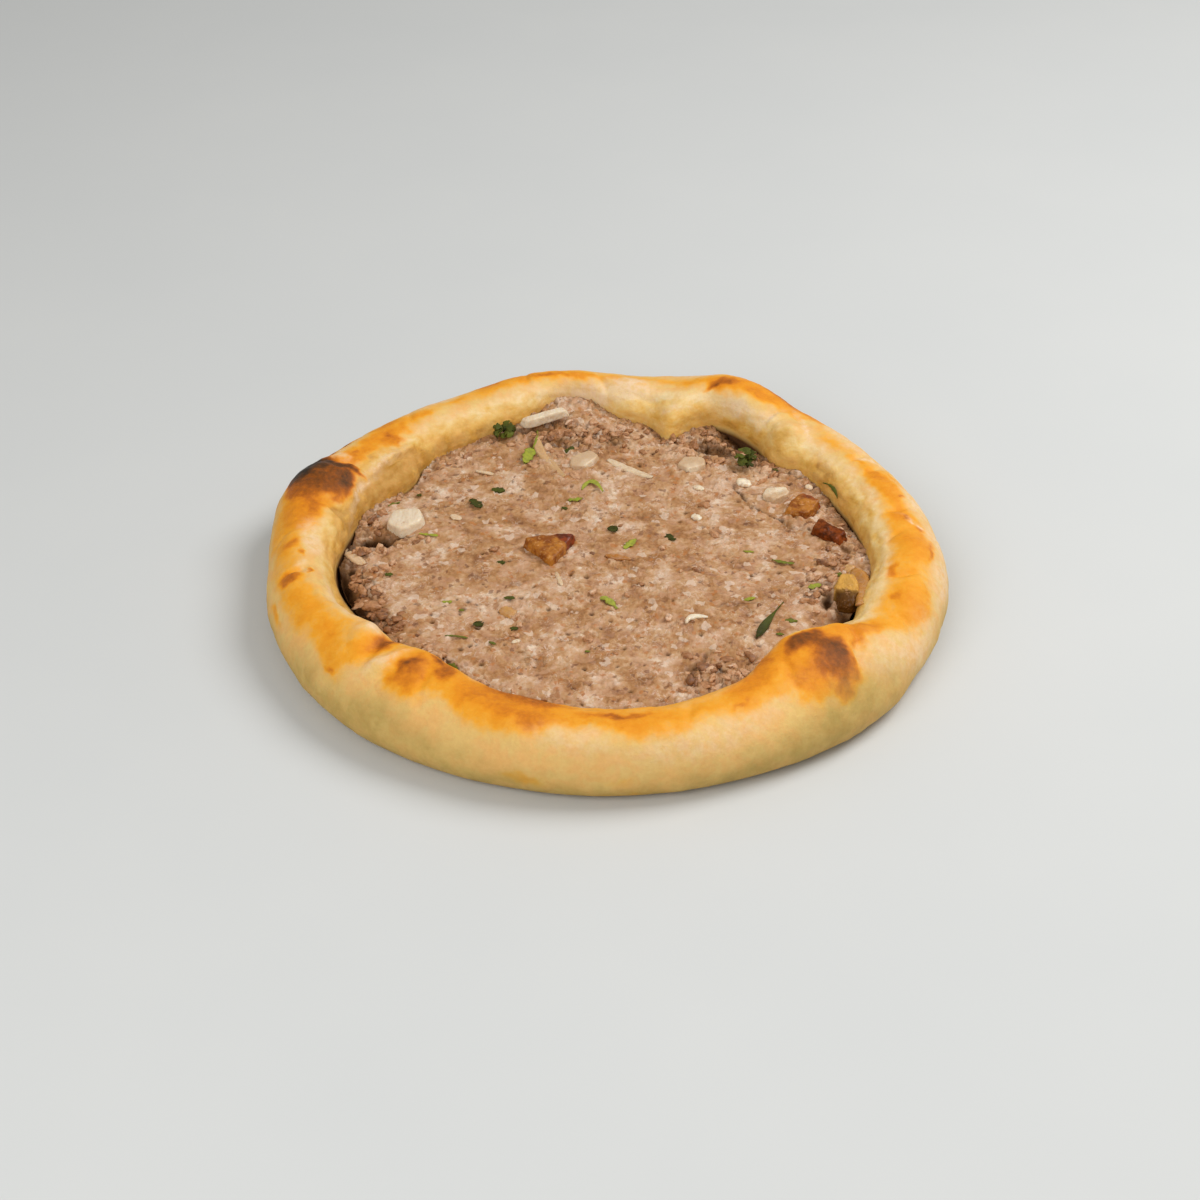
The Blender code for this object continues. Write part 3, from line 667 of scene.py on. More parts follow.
def dough_material():
    m = Shader(
        "baked_dough",
        0.6,
        Subsurface_Weight=0.10,
        Subsurface_Radius=(1.0, 0.55, 0.25),
        Subsurface_Scale=0.0018,
        Specular_IOR_Level=0.22,
    )
    toast = m.attribute("toast")
    grit = m.noise(0.85, 4.0, 0.65)
    speck = m.math("SUBTRACT", m.noise(1.6, 4.0, 0.62, 0.4), 0.5)
    cloud = m.math("SUBTRACT", m.noise(4.2, 3.0, 0.55, 0.3), 0.5)
    # Browning breaks up more where there is more of it.
    lively = m.math("ADD", m.math("MULTIPLY", toast, 0.34), 0.08)
    toast = m.math("ADD", toast, m.math("MULTIPLY", speck, lively))
    toast = m.math("ADD", toast, m.math("MULTIPLY", m.math("SUBTRACT", grit, 0.5), lively))
    toast = m.math("ADD", toast, m.math("MULTIPLY", cloud, 0.22))
    base = m.colours(
        m.math("MULTIPLY", toast, 0.625),
        (
            (0.00, (230, 188, 114)),
            (0.08, (234, 184, 98)),
            (0.16, (238, 176, 70)),
            (0.25, (240, 166, 42)),
            (0.33, (232, 148, 24)),
            (0.41, (212, 126, 20)),
            (0.50, (180, 100, 16)),
            (0.60, (140, 76, 14)),
            (0.72, (92, 54, 16)),
            (0.88, (48, 34, 20)),
        ),
    )
    # Peach and cream mottling of the paler skin.
    pale = m.spread(toast, 0.12, 0.45, 1.0, 0.0)
    peach = m.spread(m.noise(3.4, 3.0, 0.55, 0.4), 0.36, 0.64)
    tint = m.mix(peach, (230, 194, 120), (236, 182, 110))
    base = m.mix(m.math("MULTIPLY", pale, 0.7), base, tint)
    damp = m.math("MULTIPLY", m.attribute("damp"), m.spread(m.noise(3.0, 3.0), 0.25, 0.75, 0.45, 1.0))
    # Damp ochre of the inner wall, which also holds painted light and shade of each side and painted shade in its
    # folds.
    ochre = m.math(
        "ADD",
        m.attribute("wet_and_shade"),
        m.math("MULTIPLY", m.math("SUBTRACT", m.noise(3.0, 4.0, 0.6, 0.4, (1.0, 1.0, 2.2)), 0.5), 1.4),
    )
    damp_colour = m.colours(
        ochre,
        (
            (0.0, (240, 217, 168)),
            (0.30, (231, 197, 126)),
            (0.58, (222, 175, 86)),
            (0.84, (206, 152, 60)),
            (1.0, (182, 131, 50)),
        ),
    )
    base = m.mix(damp, base, damp_colour)
    # Flour and pale skin, with painted highlights and painted light on the back inner wall.
    flour_and_painted_light = m.math(
        "MULTIPLY", m.attribute("flour_and_painted_light"), m.spread(m.noise(1.5, 4.0, 0.65), 0.36, 0.60, 0.30, 1.0)
    )
    base = m.mix(flour_and_painted_light, base, (240, 210, 172))
    # Painted reflection and shade: the lower outer wall is olive and darker towards the foot.
    base = m.mix(m.math("MULTIPLY", m.attribute("low"), m.spread(cloud, -0.2, 0.2, 0.6, 1.0)), base, (176, 150, 80))
    # Rows under the meat are painted dark brown as painted shade in the gap between meat and rim.
    base = m.mix(m.attribute("hidden"), base, m.mix(grit, (74, 44, 22), (98, 62, 32)))
    base = m.mix(m.spread(grit, 0.25, 0.75, 0.20, 0.0), base, (222, 180, 130), "MULTIPLY")
    m.bump(m.noise(0.5, 4.0, 0.65), 0.35, 0.3)
    m.bump(m.noise(1.7, 3.0, 0.55), 0.3, 0.6)
    gloss = m.spread(m.attribute("toast"), 0.1, 0.7, 0.72, 0.56)
    gloss = m.math("SUBTRACT", gloss, m.math("MULTIPLY", m.attribute("damp"), 0.12))
    return m.done(base, gloss)


def meat_material():
    m = Shader(
        "baked_mince",
        0.5,
        Subsurface_Weight=0.10,
        Subsurface_Radius=(1.0, 0.5, 0.35),
        Subsurface_Scale=0.0012,
        Specular_IOR_Level=0.4,
    )
    # Each bit of mince has its own tone, from caramel to pinkish white.
    coarse, patchy, rare = m.bits(1.4, 0.8)
    fine, odd, odder = m.bits(0.7, 0.45)
    cloud = m.noise(3.4, 5.0, 0.68, 0.25)
    broad = m.noise(6.0, 4.0, 0.66, 0.2)
    tone = m.math("ADD", m.math("MULTIPLY", coarse, 0.16), m.math("MULTIPLY", fine, 0.06))
    tone = m.math("ADD", tone, m.math("MULTIPLY", m.attribute("tone"), 0.16))
    tone = m.math("ADD", tone, m.math("MULTIPLY", m.spread(cloud, 0.34, 0.66), 0.37))
    tone = m.math("ADD", tone, m.math("MULTIPLY", m.spread(broad, 0.38, 0.62), 0.41))
    base = m.colours(
        tone,
        (
            (0.12, (134, 88, 48)),
            (0.34, (166, 117, 71)),
            (0.52, (181, 134, 88)),
            (0.68, (192, 150, 109)),
            (0.86, (206, 171, 137)),
            (0.99, (222, 198, 172)),
        ),
    )
    pink = m.spread(m.math("ADD", m.math("MULTIPLY", m.noise(6.0, 3.0, 0.6), 0.6), m.math("MULTIPLY", patchy, 0.4)), 0.44, 0.62)
    base = m.mix(m.math("MULTIPLY", pink, 0.28), base, (196, 152, 128))
    caramel = m.math("MULTIPLY", m.spread(m.noise(2.6, 4.0, 0.66, 0.3), 0.54, 0.66), 0.72)
    base = m.mix(caramel, base, m.mix(patchy, (160, 104, 52), (144, 96, 56)))
    thread = m.spread(m.math("ABSOLUTE", m.math("SUBTRACT", m.noise(2.4, 2.0, 0.5, 1.4), 0.5)), 0.0, 0.022, 1.0, 0.0)
    thread = m.math("MULTIPLY", thread, m.spread(m.noise(5.0, 2.0), 0.46, 0.60, 0.0, 0.55))
    base = m.mix(thread, base, (226, 202, 182))
    base = m.mix(m.spread(rare, 0.945, 0.965, 0.0, 0.5), base, (226, 204, 182))
    base = m.mix(m.spread(odd, 0.972, 0.982, 0.0, 0.62), base, (112, 68, 40))
    base = m.mix(m.spread(odder, 0.955, 0.965, 0.0, 0.6), base, (178, 108, 44))
    crisp = m.math("MULTIPLY", m.attribute("crisp"), m.spread(fine, 0.1, 0.9, 1.0, 0.30), True)
    base = m.mix(crisp, base, m.mix(coarse, (98, 60, 28), (172, 118, 66)))
    # Painted shade in hollows, gaps, steam holes and on the meat's side.
    base = m.mix(m.attribute("deep_shade"), base, (54, 31, 14))
    m.bump(m.noise(0.42, 3.0, 0.65), 0.30, 0.3)
    m.bump(m.noise(0.9, 3.0, 0.6), 0.22, 0.5)
    gloss = m.spread(m.noise(1.3, 3.0, 0.6), 0.3, 0.7, 0.42, 0.68)
    # The hollows with painted shade are dull, with little specular.
    gloss = m.math("ADD", gloss, m.math("MULTIPLY", m.attribute("deep_shade"), 0.4), True)
    m.link(m.spread(m.attribute("deep_shade"), 0.1, 0.9, 0.38, 0.03), m.shader.inputs["Specular IOR Level"])
    return m.done(base, gloss)


def onion_material(name, pale, dark, dark_share, soft, gloss):
    m = Shader(
        name,
        0.3,
        Subsurface_Weight=soft,
        Subsurface_Radius=(1.0, 0.8, 0.5),
        Subsurface_Scale=0.0014,
        Specular_IOR_Level=gloss,
    )
    veins = m.spread(m.noise(0.9, 3.0, 0.6, 0.0, (1.0, 0.25, 1.0)), 0.35, 0.65)
    base = m.mix(m.math("MULTIPLY", veins, dark_share), pale, dark)
    ragged = m.math("ADD", m.attribute("skin"), m.math("SUBTRACT", m.noise(1.8, 4.0, 0.65), 0.5))
    base = m.mix(m.math("MULTIPLY", m.attribute("skin"), m.spread(ragged, 0.2, 0.6)), base, dark)
    # Bits of mince stick to it.
    base = m.mix(m.spread(m.noise(1.1, 4.0, 0.7), 0.60, 0.68, 0.0, 0.55), base, (186, 138, 96))
    m.bump(m.noise(0.6, 3.0, 0.5), 0.25, 0.3)
    m.bump(m.noise(1.5, 3.0, 0.6), 0.3, 0.4)
    return m.done(base, m.spread(m.noise(1.2), 0.3, 0.7, 0.26, 0.50))


def tomato_material(name, flesh, flesh_dark, skin_light, skin_dark, soft, gloss):
    m = Shader(
        name,
        0.28,
        Subsurface_Weight=soft,
        Subsurface_Radius=(1.0, 0.5, 0.2),
        Subsurface_Scale=0.001,
        Specular_IOR_Level=gloss,
    )
    base = m.mix(m.spread(m.noise(2.4, 3.0, 0.6), 0.38, 0.64), flesh, flesh_dark)
    base = m.mix(m.spread(m.noise(0.7, 3.0), 0.56, 0.68, 0.0, 0.5), base, (208, 156, 100))
    ragged = m.math("ADD", m.attribute("skin"), m.math("SUBTRACT", m.noise(1.6, 4.0, 0.65), 0.5))
    skin = m.mix(m.spread(m.noise(1.2, 3.0), 0.35, 0.65), skin_light, skin_dark)
    base = m.mix(m.math("MULTIPLY", m.attribute("skin"), m.spread(ragged, 0.2, 0.6)), base, skin)
    m.bump(m.noise(0.8, 3.0, 0.55), 0.3, 0.4)
    m.bump(m.noise(1.8, 3.0, 0.6), 0.3, 0.5)
    return m.done(base, m.spread(m.noise(1.0), 0.3, 0.7, 0.32, 0.54))


def herb_material():
    m = Shader("parsley_leaf", 0.6, Subsurface_Weight=0.06, Subsurface_Scale=0.0005, Specular_IOR_Level=0.15)
    tint = m.attribute("tint")
    base = m.colours(
        tint,
        ((0.0, (60, 60, 18)), (0.2, (80, 86, 24)), (0.5, (114, 120, 36)), (0.8, (156, 160, 52)), (1.0, (174, 178, 76))),
    )
    shade = m.spread(m.noise(0.8, 3.0, 0.6), 0.35, 0.65, 0.0, 0.6)
    base = m.mix(shade, base, m.colours(tint, ((0.0, (42, 44, 14)), (1.0, (136, 134, 60)))))
    m.bump(m.noise(0.35, 3.0, 0.6), 0.4, 0.15)
    return m.done(base, m.spread(m.noise(0.7), 0.3, 0.7, 0.5, 0.7))


def sliver_material():
    m = Shader(
        "onion_sliver",
        0.3,
        Subsurface_Weight=0.35,
        Subsurface_Radius=(1.0, 0.8, 0.5),
        Subsurface_Scale=0.0012,
    )
    base = m.colours(
        m.attribute("tint"),
        ((0.0, (156, 92, 34)), (0.12, (186, 128, 50)), (0.3, (196, 148, 88)), (0.6, (212, 178, 138)), (1.0, (236, 220, 194))),
    )
    base = m.mix(m.spread(m.noise(0.9, 3.0), 0.4, 0.7, 0.0, 0.45), base, (192, 150, 112))
    return m.done(base, m.spread(m.noise(1.0), 0.3, 0.7, 0.22, 0.42))


def crumb_material():
    m = Shader(
        "mince_crumb",
        0.5,
        Subsurface_Weight=0.08,
        Subsurface_Radius=(1.0, 0.5, 0.35),
        Subsurface_Scale=0.001,
    )
    small = m.noise(0.8, 4.0, 0.7)
    tone = m.math("ADD", m.math("MULTIPLY", m.attribute("tint"), 0.45), m.math("MULTIPLY", small, 0.55))
    base = m.colours(
        tone,
        (
            (0.22, (100, 62, 34)),
            (0.38, (152, 100, 58)),
            (0.52, (186, 134, 90)),
            (0.66, (206, 162, 124)),
            (0.78, (222, 190, 162)),
        ),
    )
    base = m.mix(m.spread(m.noise(1.5), 0.60, 0.68, 0.0, 0.6), base, (124, 78, 42))
    m.bump(m.noise(0.4, 3.0, 0.65), 0.5, 0.25)
    return m.done(base, m.spread(m.noise(0.9, 3.0, 0.6), 0.3, 0.7, 0.34, 0.62))


# --------------------------------------------------------------------- crust
AROUND = 1000
FLOOR_RINGS = 7
FOOT_ROWS = 13
SHOULDER_ROWS = 31
SLOPE_ROWS = 25


def crust_grid():
    """Rows of points round the dough, from the underside's middle to the floor of the well, with each row's arc length from the crest."""
    angle = np.arange(AROUND) * 360.0 / AROUND
    outer, crest, top, well, meat = section_sizes(angle)
    foot = outer - FOOT_R_IN
    rows, kinds = [], []
    for share in np.linspace(0.06, 0.94, FLOOR_RINGS):
        rows.append((foot * share, np.zeros(AROUND)))
        kinds.append("under")
    for i in range(FOOT_ROWS - 1):
        a = math.pi / 2 * i / (FOOT_ROWS - 1)
        rows.append((foot + (outer - foot) * math.sin(a), np.full(AROUND, WIDEST_Z * (1 - math.cos(a)))))
        kinds.append("skin")
    for i in range(SHOULDER_ROWS - 1):
        a = math.pi / 2 * i / (SHOULDER_ROWS - 1)
        rows.append(
            (crest + (outer - crest) * math.cos(a), WIDEST_Z + (top - WIDEST_Z) * math.sin(a))
        )
        kinds.append("skin")
    crest_row = len(rows)
    for i in range(SLOPE_ROWS):
        a = math.pi / 2 * i / (SLOPE_ROWS - 1)
        rows.append(
            (crest - (crest - well) * math.sin(a), top - (top - meat) * (1 - math.cos(a)))
        )
        kinds.append("skin")
    for inset, height in ((0.15, 0.0), (0.35, 0.0), (0.6, FLOOR_Z + 1.1), (1.9, FLOOR_Z)):
        z = meat - 1.2 - 1.2 * (inset > 0.2) if height == 0.0 else np.full(AROUND, height)
        rows.append((well - inset, z))
        kinds.append("hidden")
    for share in (0.7, 0.4, 0.08):
        rows.append((well * share, np.full(AROUND, FLOOR_Z)))
        kinds.append("hidden")
    r = np.array([row[0] for row in rows])
    z = np.array([row[1] for row in rows])
    steps = np.hypot(np.diff(r, axis=0), np.diff(z, axis=0))
    arc = np.concatenate([np.zeros((1, AROUND)), np.cumsum(steps, axis=0)])
    arc -= arc[crest_row]
    return angle, r, z, arc, kinds


def normals_of(p):
    """Unit normals of a grid of points whose second index runs round."""
    along = np.roll(p, -1, axis=1) - np.roll(p, 1, axis=1)
    across = np.gradient(p, axis=0)
    n = np.cross(along, across)
    return n / np.maximum(np.linalg.norm(n, axis=2, keepdims=True), 1e-9)


def make_crust():
    angle, r, z, arc, kinds = crust_grid()
    a = np.radians(angle)[None, :]
    p = np.stack([r * np.cos(a) - CENTRE[0], r * np.sin(a) - CENTRE[1], z], axis=2)
    n = normals_of(p)
    skin = np.array([k == "skin" for k in kinds], float)[:, None] * np.ones_like(r)
    # The skin's relief dies out towards the foot and under the meat.
    foot_fade = ramp(z, 0.2, 2.2) * skin
    wall = ramp(arc, 3.0, 6.0)
    ang = np.broadcast_to(angle[None, :], r.shape)
    x, y = p[..., 0], p[..., 1]

    bend_a = ang + 1.1 * waves(x, y, z, 3.6, 11)
    bend_s = arc + 0.8 * waves(x, y, z, 3.6, 12)
    lift = np.zeros_like(r)
    for _, at, arc_at, along, across, turn, height in SKIN_SHAPES:
        lift += height * patch(bend_a, bend_s, at, arc_at, along, across, turn)

    bend_a = bend_a + 0.9 * waves(x, y, z, 1.7, 13) + 0.35 * waves(x, y, z, 0.8, 16)
    bend_s = bend_s + 0.7 * waves(x, y, z, 1.7, 14) + 0.3 * waves(x, y, z, 0.8, 17)
    knots = [column for column in zip(*BAND)]
    band_out, band_in, band_level = (
        np.interp(bend_a, knots[0], knots[i], period=360.0) for i in (1, 2, 3)
    )
    drift = 0.9 * waves(x, y, z, 5.0, 18)
    band = ramp(bend_s - drift, band_out - 2.4, band_out + 1.8)
    band = band * (1 - ramp(bend_s - drift, band_in - 1.8, band_in + 2.2))
    total = (band_level * (0.76 * band + 0.12 * np.exp(-(((bend_s - 0.6) / 4.5) ** 2)))) ** 5
    for _, at, arc_at, along, across, turn, edge, level in TOAST:
        total += (level * patch(bend_a, bend_s, at, arc_at, along, across, turn, edge)) ** 5
    toast = total**0.2 + 0.05 * waves(x, y, z, 6.0, 15)
    flour_and_painted_light = np.zeros_like(r)
    for _, at, arc_at, along, across, turn, edge, level in FLOUR_AND_PAINTED_LIGHT:
        flour_and_painted_light = np.maximum(flour_and_painted_light, level * patch(bend_a, bend_s, at, arc_at, along, across, turn, edge))
    flour_and_painted_light *= 1 - 0.85 * ramp(toast, 0.50, 0.8)
    damp = ramp(bend_s, 2.2, 5.0) * (1 - ramp(toast, 0.35, 0.65))
    # In front the band of browning runs down to the meat.
    damp *= 1 - 0.92 * swell(ang, 274.0, 30.0)
    # Painted light and shade of each side, and painted shade in the folds, are added to the damp ochre.
    side_light_and_shade = [column for column in zip(*SIDE_LIGHT_AND_SHADE)]
    wet_and_shade = 0.06 + 0.74 * ramp(bend_s, 3.0, 9.5)
    wet_and_shade += np.interp(bend_a, side_light_and_shade[0], side_light_and_shade[1], period=360.0) * ramp(bend_s, 1.5, 5.0)
    for _, at, arc_at, along, across, turn, edge, level in STAINS_AND_FOLD_SHADE:
        wet_and_shade += 0.6 * level * patch(bend_a, bend_s, at, arc_at, along, across, turn, edge)
    # Painted reflection and shade of the lower outer wall, less at the knuckle.
    low = ramp(-bend_s, 7.8, 14.6) * 0.85 * (1 - 0.45 * swell(ang, 328.0, 16.0))

    lift += 0.24 * waves(x, y, z, 10.0, 1) + 0.16 * waves(x, y, z, 4.6, 2)
    lift += 0.085 * waves(x, y, z, 2.1, 3) + 0.035 * waves(x, y, z, 0.95, 4)
    # Soft wrinkles that run round the damp inner wall.
    lift += wall * (
        0.24 * waves(ang * 0.95, arc * 3.4, 0.0, 5.5, 5) + 0.09 * waves(x, y, z, 1.4, 6)
    )
    # Browned skin is blistered.
    lift += 0.10 * ramp(toast, 0.40, 0.9) * waves(x, y, z, 1.5, 7)
    p = p + n * (lift * foot_fade)[..., None]
    p[..., 2] = np.maximum(p[..., 2], 0.0)
    under = np.array([k == "under" for k in kinds])
    p[under, :, 2] = 0.0

    hidden = np.array([k == "hidden" for k in kinds], float)[:, None] * np.ones_like(r)
    rows = len(kinds)
    verts = p.reshape(-1, 3)
    quads = band_faces(rows, AROUND)
    mesh = mesh_of("crust_skin", verts, quads)
    close_ring(mesh, 0, AROUND, True)
    close_ring(mesh, (rows - 1) * AROUND, AROUND, False)
    paint(mesh, "toast", np.where(skin > 0, toast, 0.42 + 0.25 * waves(x, y, z, 9.0, 21)))
    paint(mesh, "flour_and_painted_light", flour_and_painted_light * skin)
    paint(mesh, "damp", damp * skin)
    paint(mesh, "wet_and_shade", wet_and_shade * skin)
    paint(mesh, "low", low * skin)
    paint(mesh, "hidden", hidden)
    return mesh


def close_ring(mesh, start, count, reverse):
    """Closes a ring of vertices with one face."""
    bm = bmesh.new()
    bm.from_mesh(mesh)
    bm.verts.ensure_lookup_table()
    ring = [bm.verts[start + i] for i in range(count)]
    bm.faces.new(tuple(reversed(ring)) if reverse else tuple(ring))
    bm.to_mesh(mesh)
    bm.free()
    mesh.shade_smooth()


# ---------------------------------------------------------------------- meat
MEAT_SIDE = 300  # quads along one side of the square that is wrapped to the disc
PITS = 150
# Where the mince has sunk or broken away: x, y, half lengths along and across,
# turn (degrees), sharpness of the edge, depth (mm) and how much painted shade it gets.
DIPS = (
    ("behind_crease", 35.0, 18.6, 12.0, 4.6, -50.0, 3.0, 0.22, 0.0),
    ("crease_high", 25.9, 19.8, 4.8, 0.34, -66.0, 1.4, 0.50, 0.85),
    ("crease_low", 32.3, 11.7, 7.2, 0.34, -43.0, 1.4, 0.60, 0.90),
    ("back_right_hollow", 22.4, 36.0, 4.4, 2.0, -30.0, 1.6, 0.95, 0.72),
    ("back_right_side", 19.4, 37.0, 0.9, 3.6, 14.0, 1.4, 0.80, 0.60),
    ("left_hollow", -42.6, 4.3, 3.5, 2.0, -10.0, 1.6, 1.80, 1.20),
    ("left_hollow_small", -38.4, 4.9, 2.6, 0.6, 4.0, 1.2, 0.80, 0.90),
    ("left_gap_high", -46.6, -4.4, 0.8, 1.8, 4.0, 1.4, 1.20, 0.95),
    ("left_gap", -47.4, -9.6, 1.1, 4.4, 6.0, 1.6, 1.40, 1.00),
    ("left_gap_low", -45.6, -17.8, 1.1, 4.6, 20.0, 1.6, 1.40, 1.00),
    ("slice_gap", 40.0, -15.2, 0.9, 2.6, -10.0, 1.4, 1.30, 1.00),
    ("slice_end", 42.4, -21.4, 2.0, 2.0, 0.0, 1.4, 1.30, 1.00),
    ("back_hollow", -9.8, 37.6, 3.4, 0.9, -14.0, 1.4, 0.70, 0.60),
    ("strip_shadow", -14.0, 42.4, 4.6, 0.7, 15.0, 1.4, 0.50, 0.60),
    ("ribbon_shadow", -14.4, 36.6, 0.7, 3.4, 14.0, 1.4, 0.50, 0.60),
    ("back_middle_hollow", 2.0, 38.4, 1.2, 0.8, 0.0, 1.2, 0.50, 0.60),
    ("front_right_gap", 19.6, -44.0, 3.2, 0.8, 24.0, 1.4, 0.90, 0.75),
    ("front_right_break", 16.4, -33.6, 4.6, 0.6, 52.0, 1.4, 0.45, 0.50),
    ("front_left_gap", -26.6, -35.2, 2.4, 0.6, -38.0, 1.4, 0.80, 0.75),
    ("right_gap", 44.6, 1.2, 1.0, 0.8, 0.0, 1.2, 0.70, 0.70),
)


def disc_grid(n):
    """Angle (degrees) and share of the radius of an even square grid wrapped to a disc."""
    line = np.linspace(-1, 1, n + 1)
    gx, gy = np.meshgrid(line, line)
    wide = np.abs(gx) >= np.abs(gy)
    share = np.where(wide, np.abs(gx), np.abs(gy))
    with np.errstate(divide="ignore", invalid="ignore"):
        a = np.where(wide, np.pi / 4 * gy / gx, np.pi / 2 - np.pi / 4 * gx / gy)
    a = np.nan_to_num(a)
    a = np.where(wide & (gx < 0), a + np.pi, a)
    a = np.where(~wide & (gy < 0), a + np.pi, a)
    return np.degrees(a) % 360.0, share


def meat_base(x, y, share, edge_z):
    """Top of the meat as its solid has it: a low dome with uneven lumps."""
    flat_x, flat_y = np.ravel(x), np.ravel(y)
    lumps = np.array(
        [
            noise.noise(Vector((u * 0.11, v * 0.11, 3.7)))
            + 0.5 * noise.noise(Vector((u * 0.27, v * 0.27, 9.1)))
            for u, v in zip(flat_x, flat_y)
        ]
    ).reshape(np.shape(x))
    settle = np.minimum(1.0, (1.0 - share) * 4.0)
    base = WELL_Z + (edge_z - WELL_Z) * np.maximum(0.0, (share - 0.62) / 0.38) ** 1.5
    return base + DOME * (1 - share**2) + LUMP * lumps * settle


def make_meat():
    angle, share = disc_grid(MEAT_SIDE)
    sizes = section_sizes(angle)
    pull, drop = np.zeros(angle.shape), np.zeros(angle.shape)
    for _, at, half, inward, down in CREVICES:
        pull += inward * swell(angle, at, half)
        drop += down * swell(angle, at, half)
    a = np.radians(angle)
    ragged = 0.35 * waves(np.cos(a) * 50, np.sin(a) * 50, 0.0, 3.0, 31)
    reach = sizes[3] + 0.25 - pull * (1 + ragged) - 0.25 * (pull > 0.2)
    r = reach * share
    x, y = r * np.cos(a), r * np.sin(a)
    z = meat_base(x, y, np.minimum(share, 1.0), sizes[4])

    px, py = x - CENTRE[0], y - CENTRE[1]
    edge = ramp(share, 0.88, 0.99)
    crumbly = np.clip(
        0.55 * edge + 0.5 * ramp(waves(x, y, 0.0, 10.0, 32), 0.25, 0.7) + crumb_zone(angle, r), 0, 1.2
    )
    wx = x + 0.8 * waves(x, y, 0.0, 2.6, 33) + 0.55 * waves(x, y, 1.0, 0.95, 30)
    wy = y + 0.8 * waves(x, y, 0.0, 2.6, 34) + 0.55 * waves(x, y, 2.0, 0.95, 29)
    first, second, lump_tag = grains(wx, wy, 2.8, 35)
    lump = ramp(second - first, 0.0, 0.42)
    first, second, bit_tag = grains(wx, wy, 1.35, 36)
    bit = ramp(second - first, 0.0, 0.36)
    first, second, grit_tag = grains(wy, wx, 0.8, 40)
    grit = ramp(second - first, 0.0, 0.4)
    # A paste of fine bits in the middle, smeared smooth in places; broken lumps
    # with gaps between them towards the rim.
    smooth = ramp(waves(x, y, 0.0, 7.0, 42), -0.1, 0.5) * (1 - np.clip(crumbly, 0, 1))
    paste = bit * (0.07 + 0.26 * bit_tag) * (1 - 0.5 * smooth) + 0.10 * grit * (0.4 + grit_tag)
    paste += 0.11 * waves(wx, wy, 0.0, 2.0, 39) - 0.10 * ramp(np.abs(waves(wx, wy, 0.0, 3.4, 28)), 0.10, 0.0)
    lumps = lump * (0.08 + 0.66 * lump_tag**1.4) + 0.46 * bit * bit_tag
    lumps += 0.30 * waves(wx, wy, 3.0, 1.5, 46) + 0.15 * waves(wx, wy, 4.0, 0.75, 47)
    relief = paste - 0.12 + crumbly * (lumps - 0.38)
    relief += 0.22 * waves(x, y, 0.0, 6.0, 37)
    # Painted shade in the gaps between broken lumps and between fine bits.
    deep_shade = 0.85 * ramp(crumbly, 0.2, 0.8) * (1 - ramp(lump, 0.06, 0.5)) * (0.4 + 0.6 * ramp(lump_tag, 0.2, 0.6))
    deep_shade = np.maximum(deep_shade, 0.18 * (1 - ramp(bit, 0.0, 0.5)) * (1 - smooth) * ramp(bit_tag, 0.3, 0.8))
    tone = 0.55 * bit_tag + 0.30 * grit_tag + 0.15 * bit
    # Small steam holes, with painted shade inside.
    rng = np.random.default_rng(41)
    for _ in range(PITS):
        pr = 46 * math.sqrt(rng.random())
        pa = rng.random() * 2 * math.pi
        size = rng.uniform(0.22, 0.5)
        d = ((x - pr * math.cos(pa)) ** 2 + (y - pr * math.sin(pa)) ** 2) / size**2
        dip = np.exp(-(d**1.6))
        relief -= dip * size * 1.1
        deep_shade = np.maximum(deep_shade, dip * 0.8)
    for _, at_x, at_y, along, across, turn, sharp, depth, dark in DIPS:
        u = px + 0.6 * waves(x, y, 5.0, 2.4, 43) + 0.35 * waves(x, y, 7.0, 0.9, 48) - at_x
        v = py + 0.6 * waves(x, y, 6.0, 2.4, 44) + 0.35 * waves(x, y, 8.0, 0.9, 49) - at_y
        c, s = math.cos(math.radians(turn)), math.sin(math.radians(turn))
        q = ((u * c + v * s) / along) ** 2 + ((v * c - u * s) / across) ** 2
        dip = np.exp(-(q**sharp))
        relief -= depth * dip
        whole = 1.15 if across > 0.5 else 0.35 + 0.80 * ramp(waves(x, y, 9.0, 2.0, 50), -0.15, 0.25)
        deep_shade = np.maximum(deep_shade, np.clip(dark * whole * np.exp(-(q ** (sharp + 0.6))) * (0.85 + 0.15 * (1 - bit)), 0, 1))
    # The mince stands up a little round the pieces that are sunk in it.
    for name, kind, at_x, at_y, top, length, width, thick, turn, *_ in TOPPINGS:
        if kind == "parsley":
            continue
        c, s = math.cos(math.radians(turn)), math.sin(math.radians(turn))
        u, v = x - at_x, y - at_y
        across = np.hypot((u * c + v * s) / length, (v * c - u * s) / width) * 2
        away = (across - 1.1) * min(length, width) / 2
        hug = np.exp(-((away / 0.9) ** 2)) * (0.6 + 0.6 * waves(x, y, 0.0, 1.6, 45))
        below, most = (1.0, 0.5) if name in ("tomato_middle", "onion_left") else (0.5, 0.9)
        z = z + np.clip(top - below - z, 0, most) * np.clip(hug, 0, 1)
    z = z + relief
    z = z - drop * ramp(share, 0.86, 1.0)
    # Painted shade where the meat's edge drops into a crevice.
    deep_shade = np.maximum(deep_shade, 0.95 * ramp(share, 0.94, 0.985) * ramp(drop, 0.4, 1.4))

    n = MEAT_SIDE + 1
    top = np.stack([px, py, z], axis=2).reshape(-1, 3)
    index = np.arange(n * n).reshape(n, n)
    quads = np.stack(
        [index[:-1, :-1], index[:-1, 1:], index[1:, 1:], index[1:, :-1]], axis=2
    ).reshape(-1, 4)
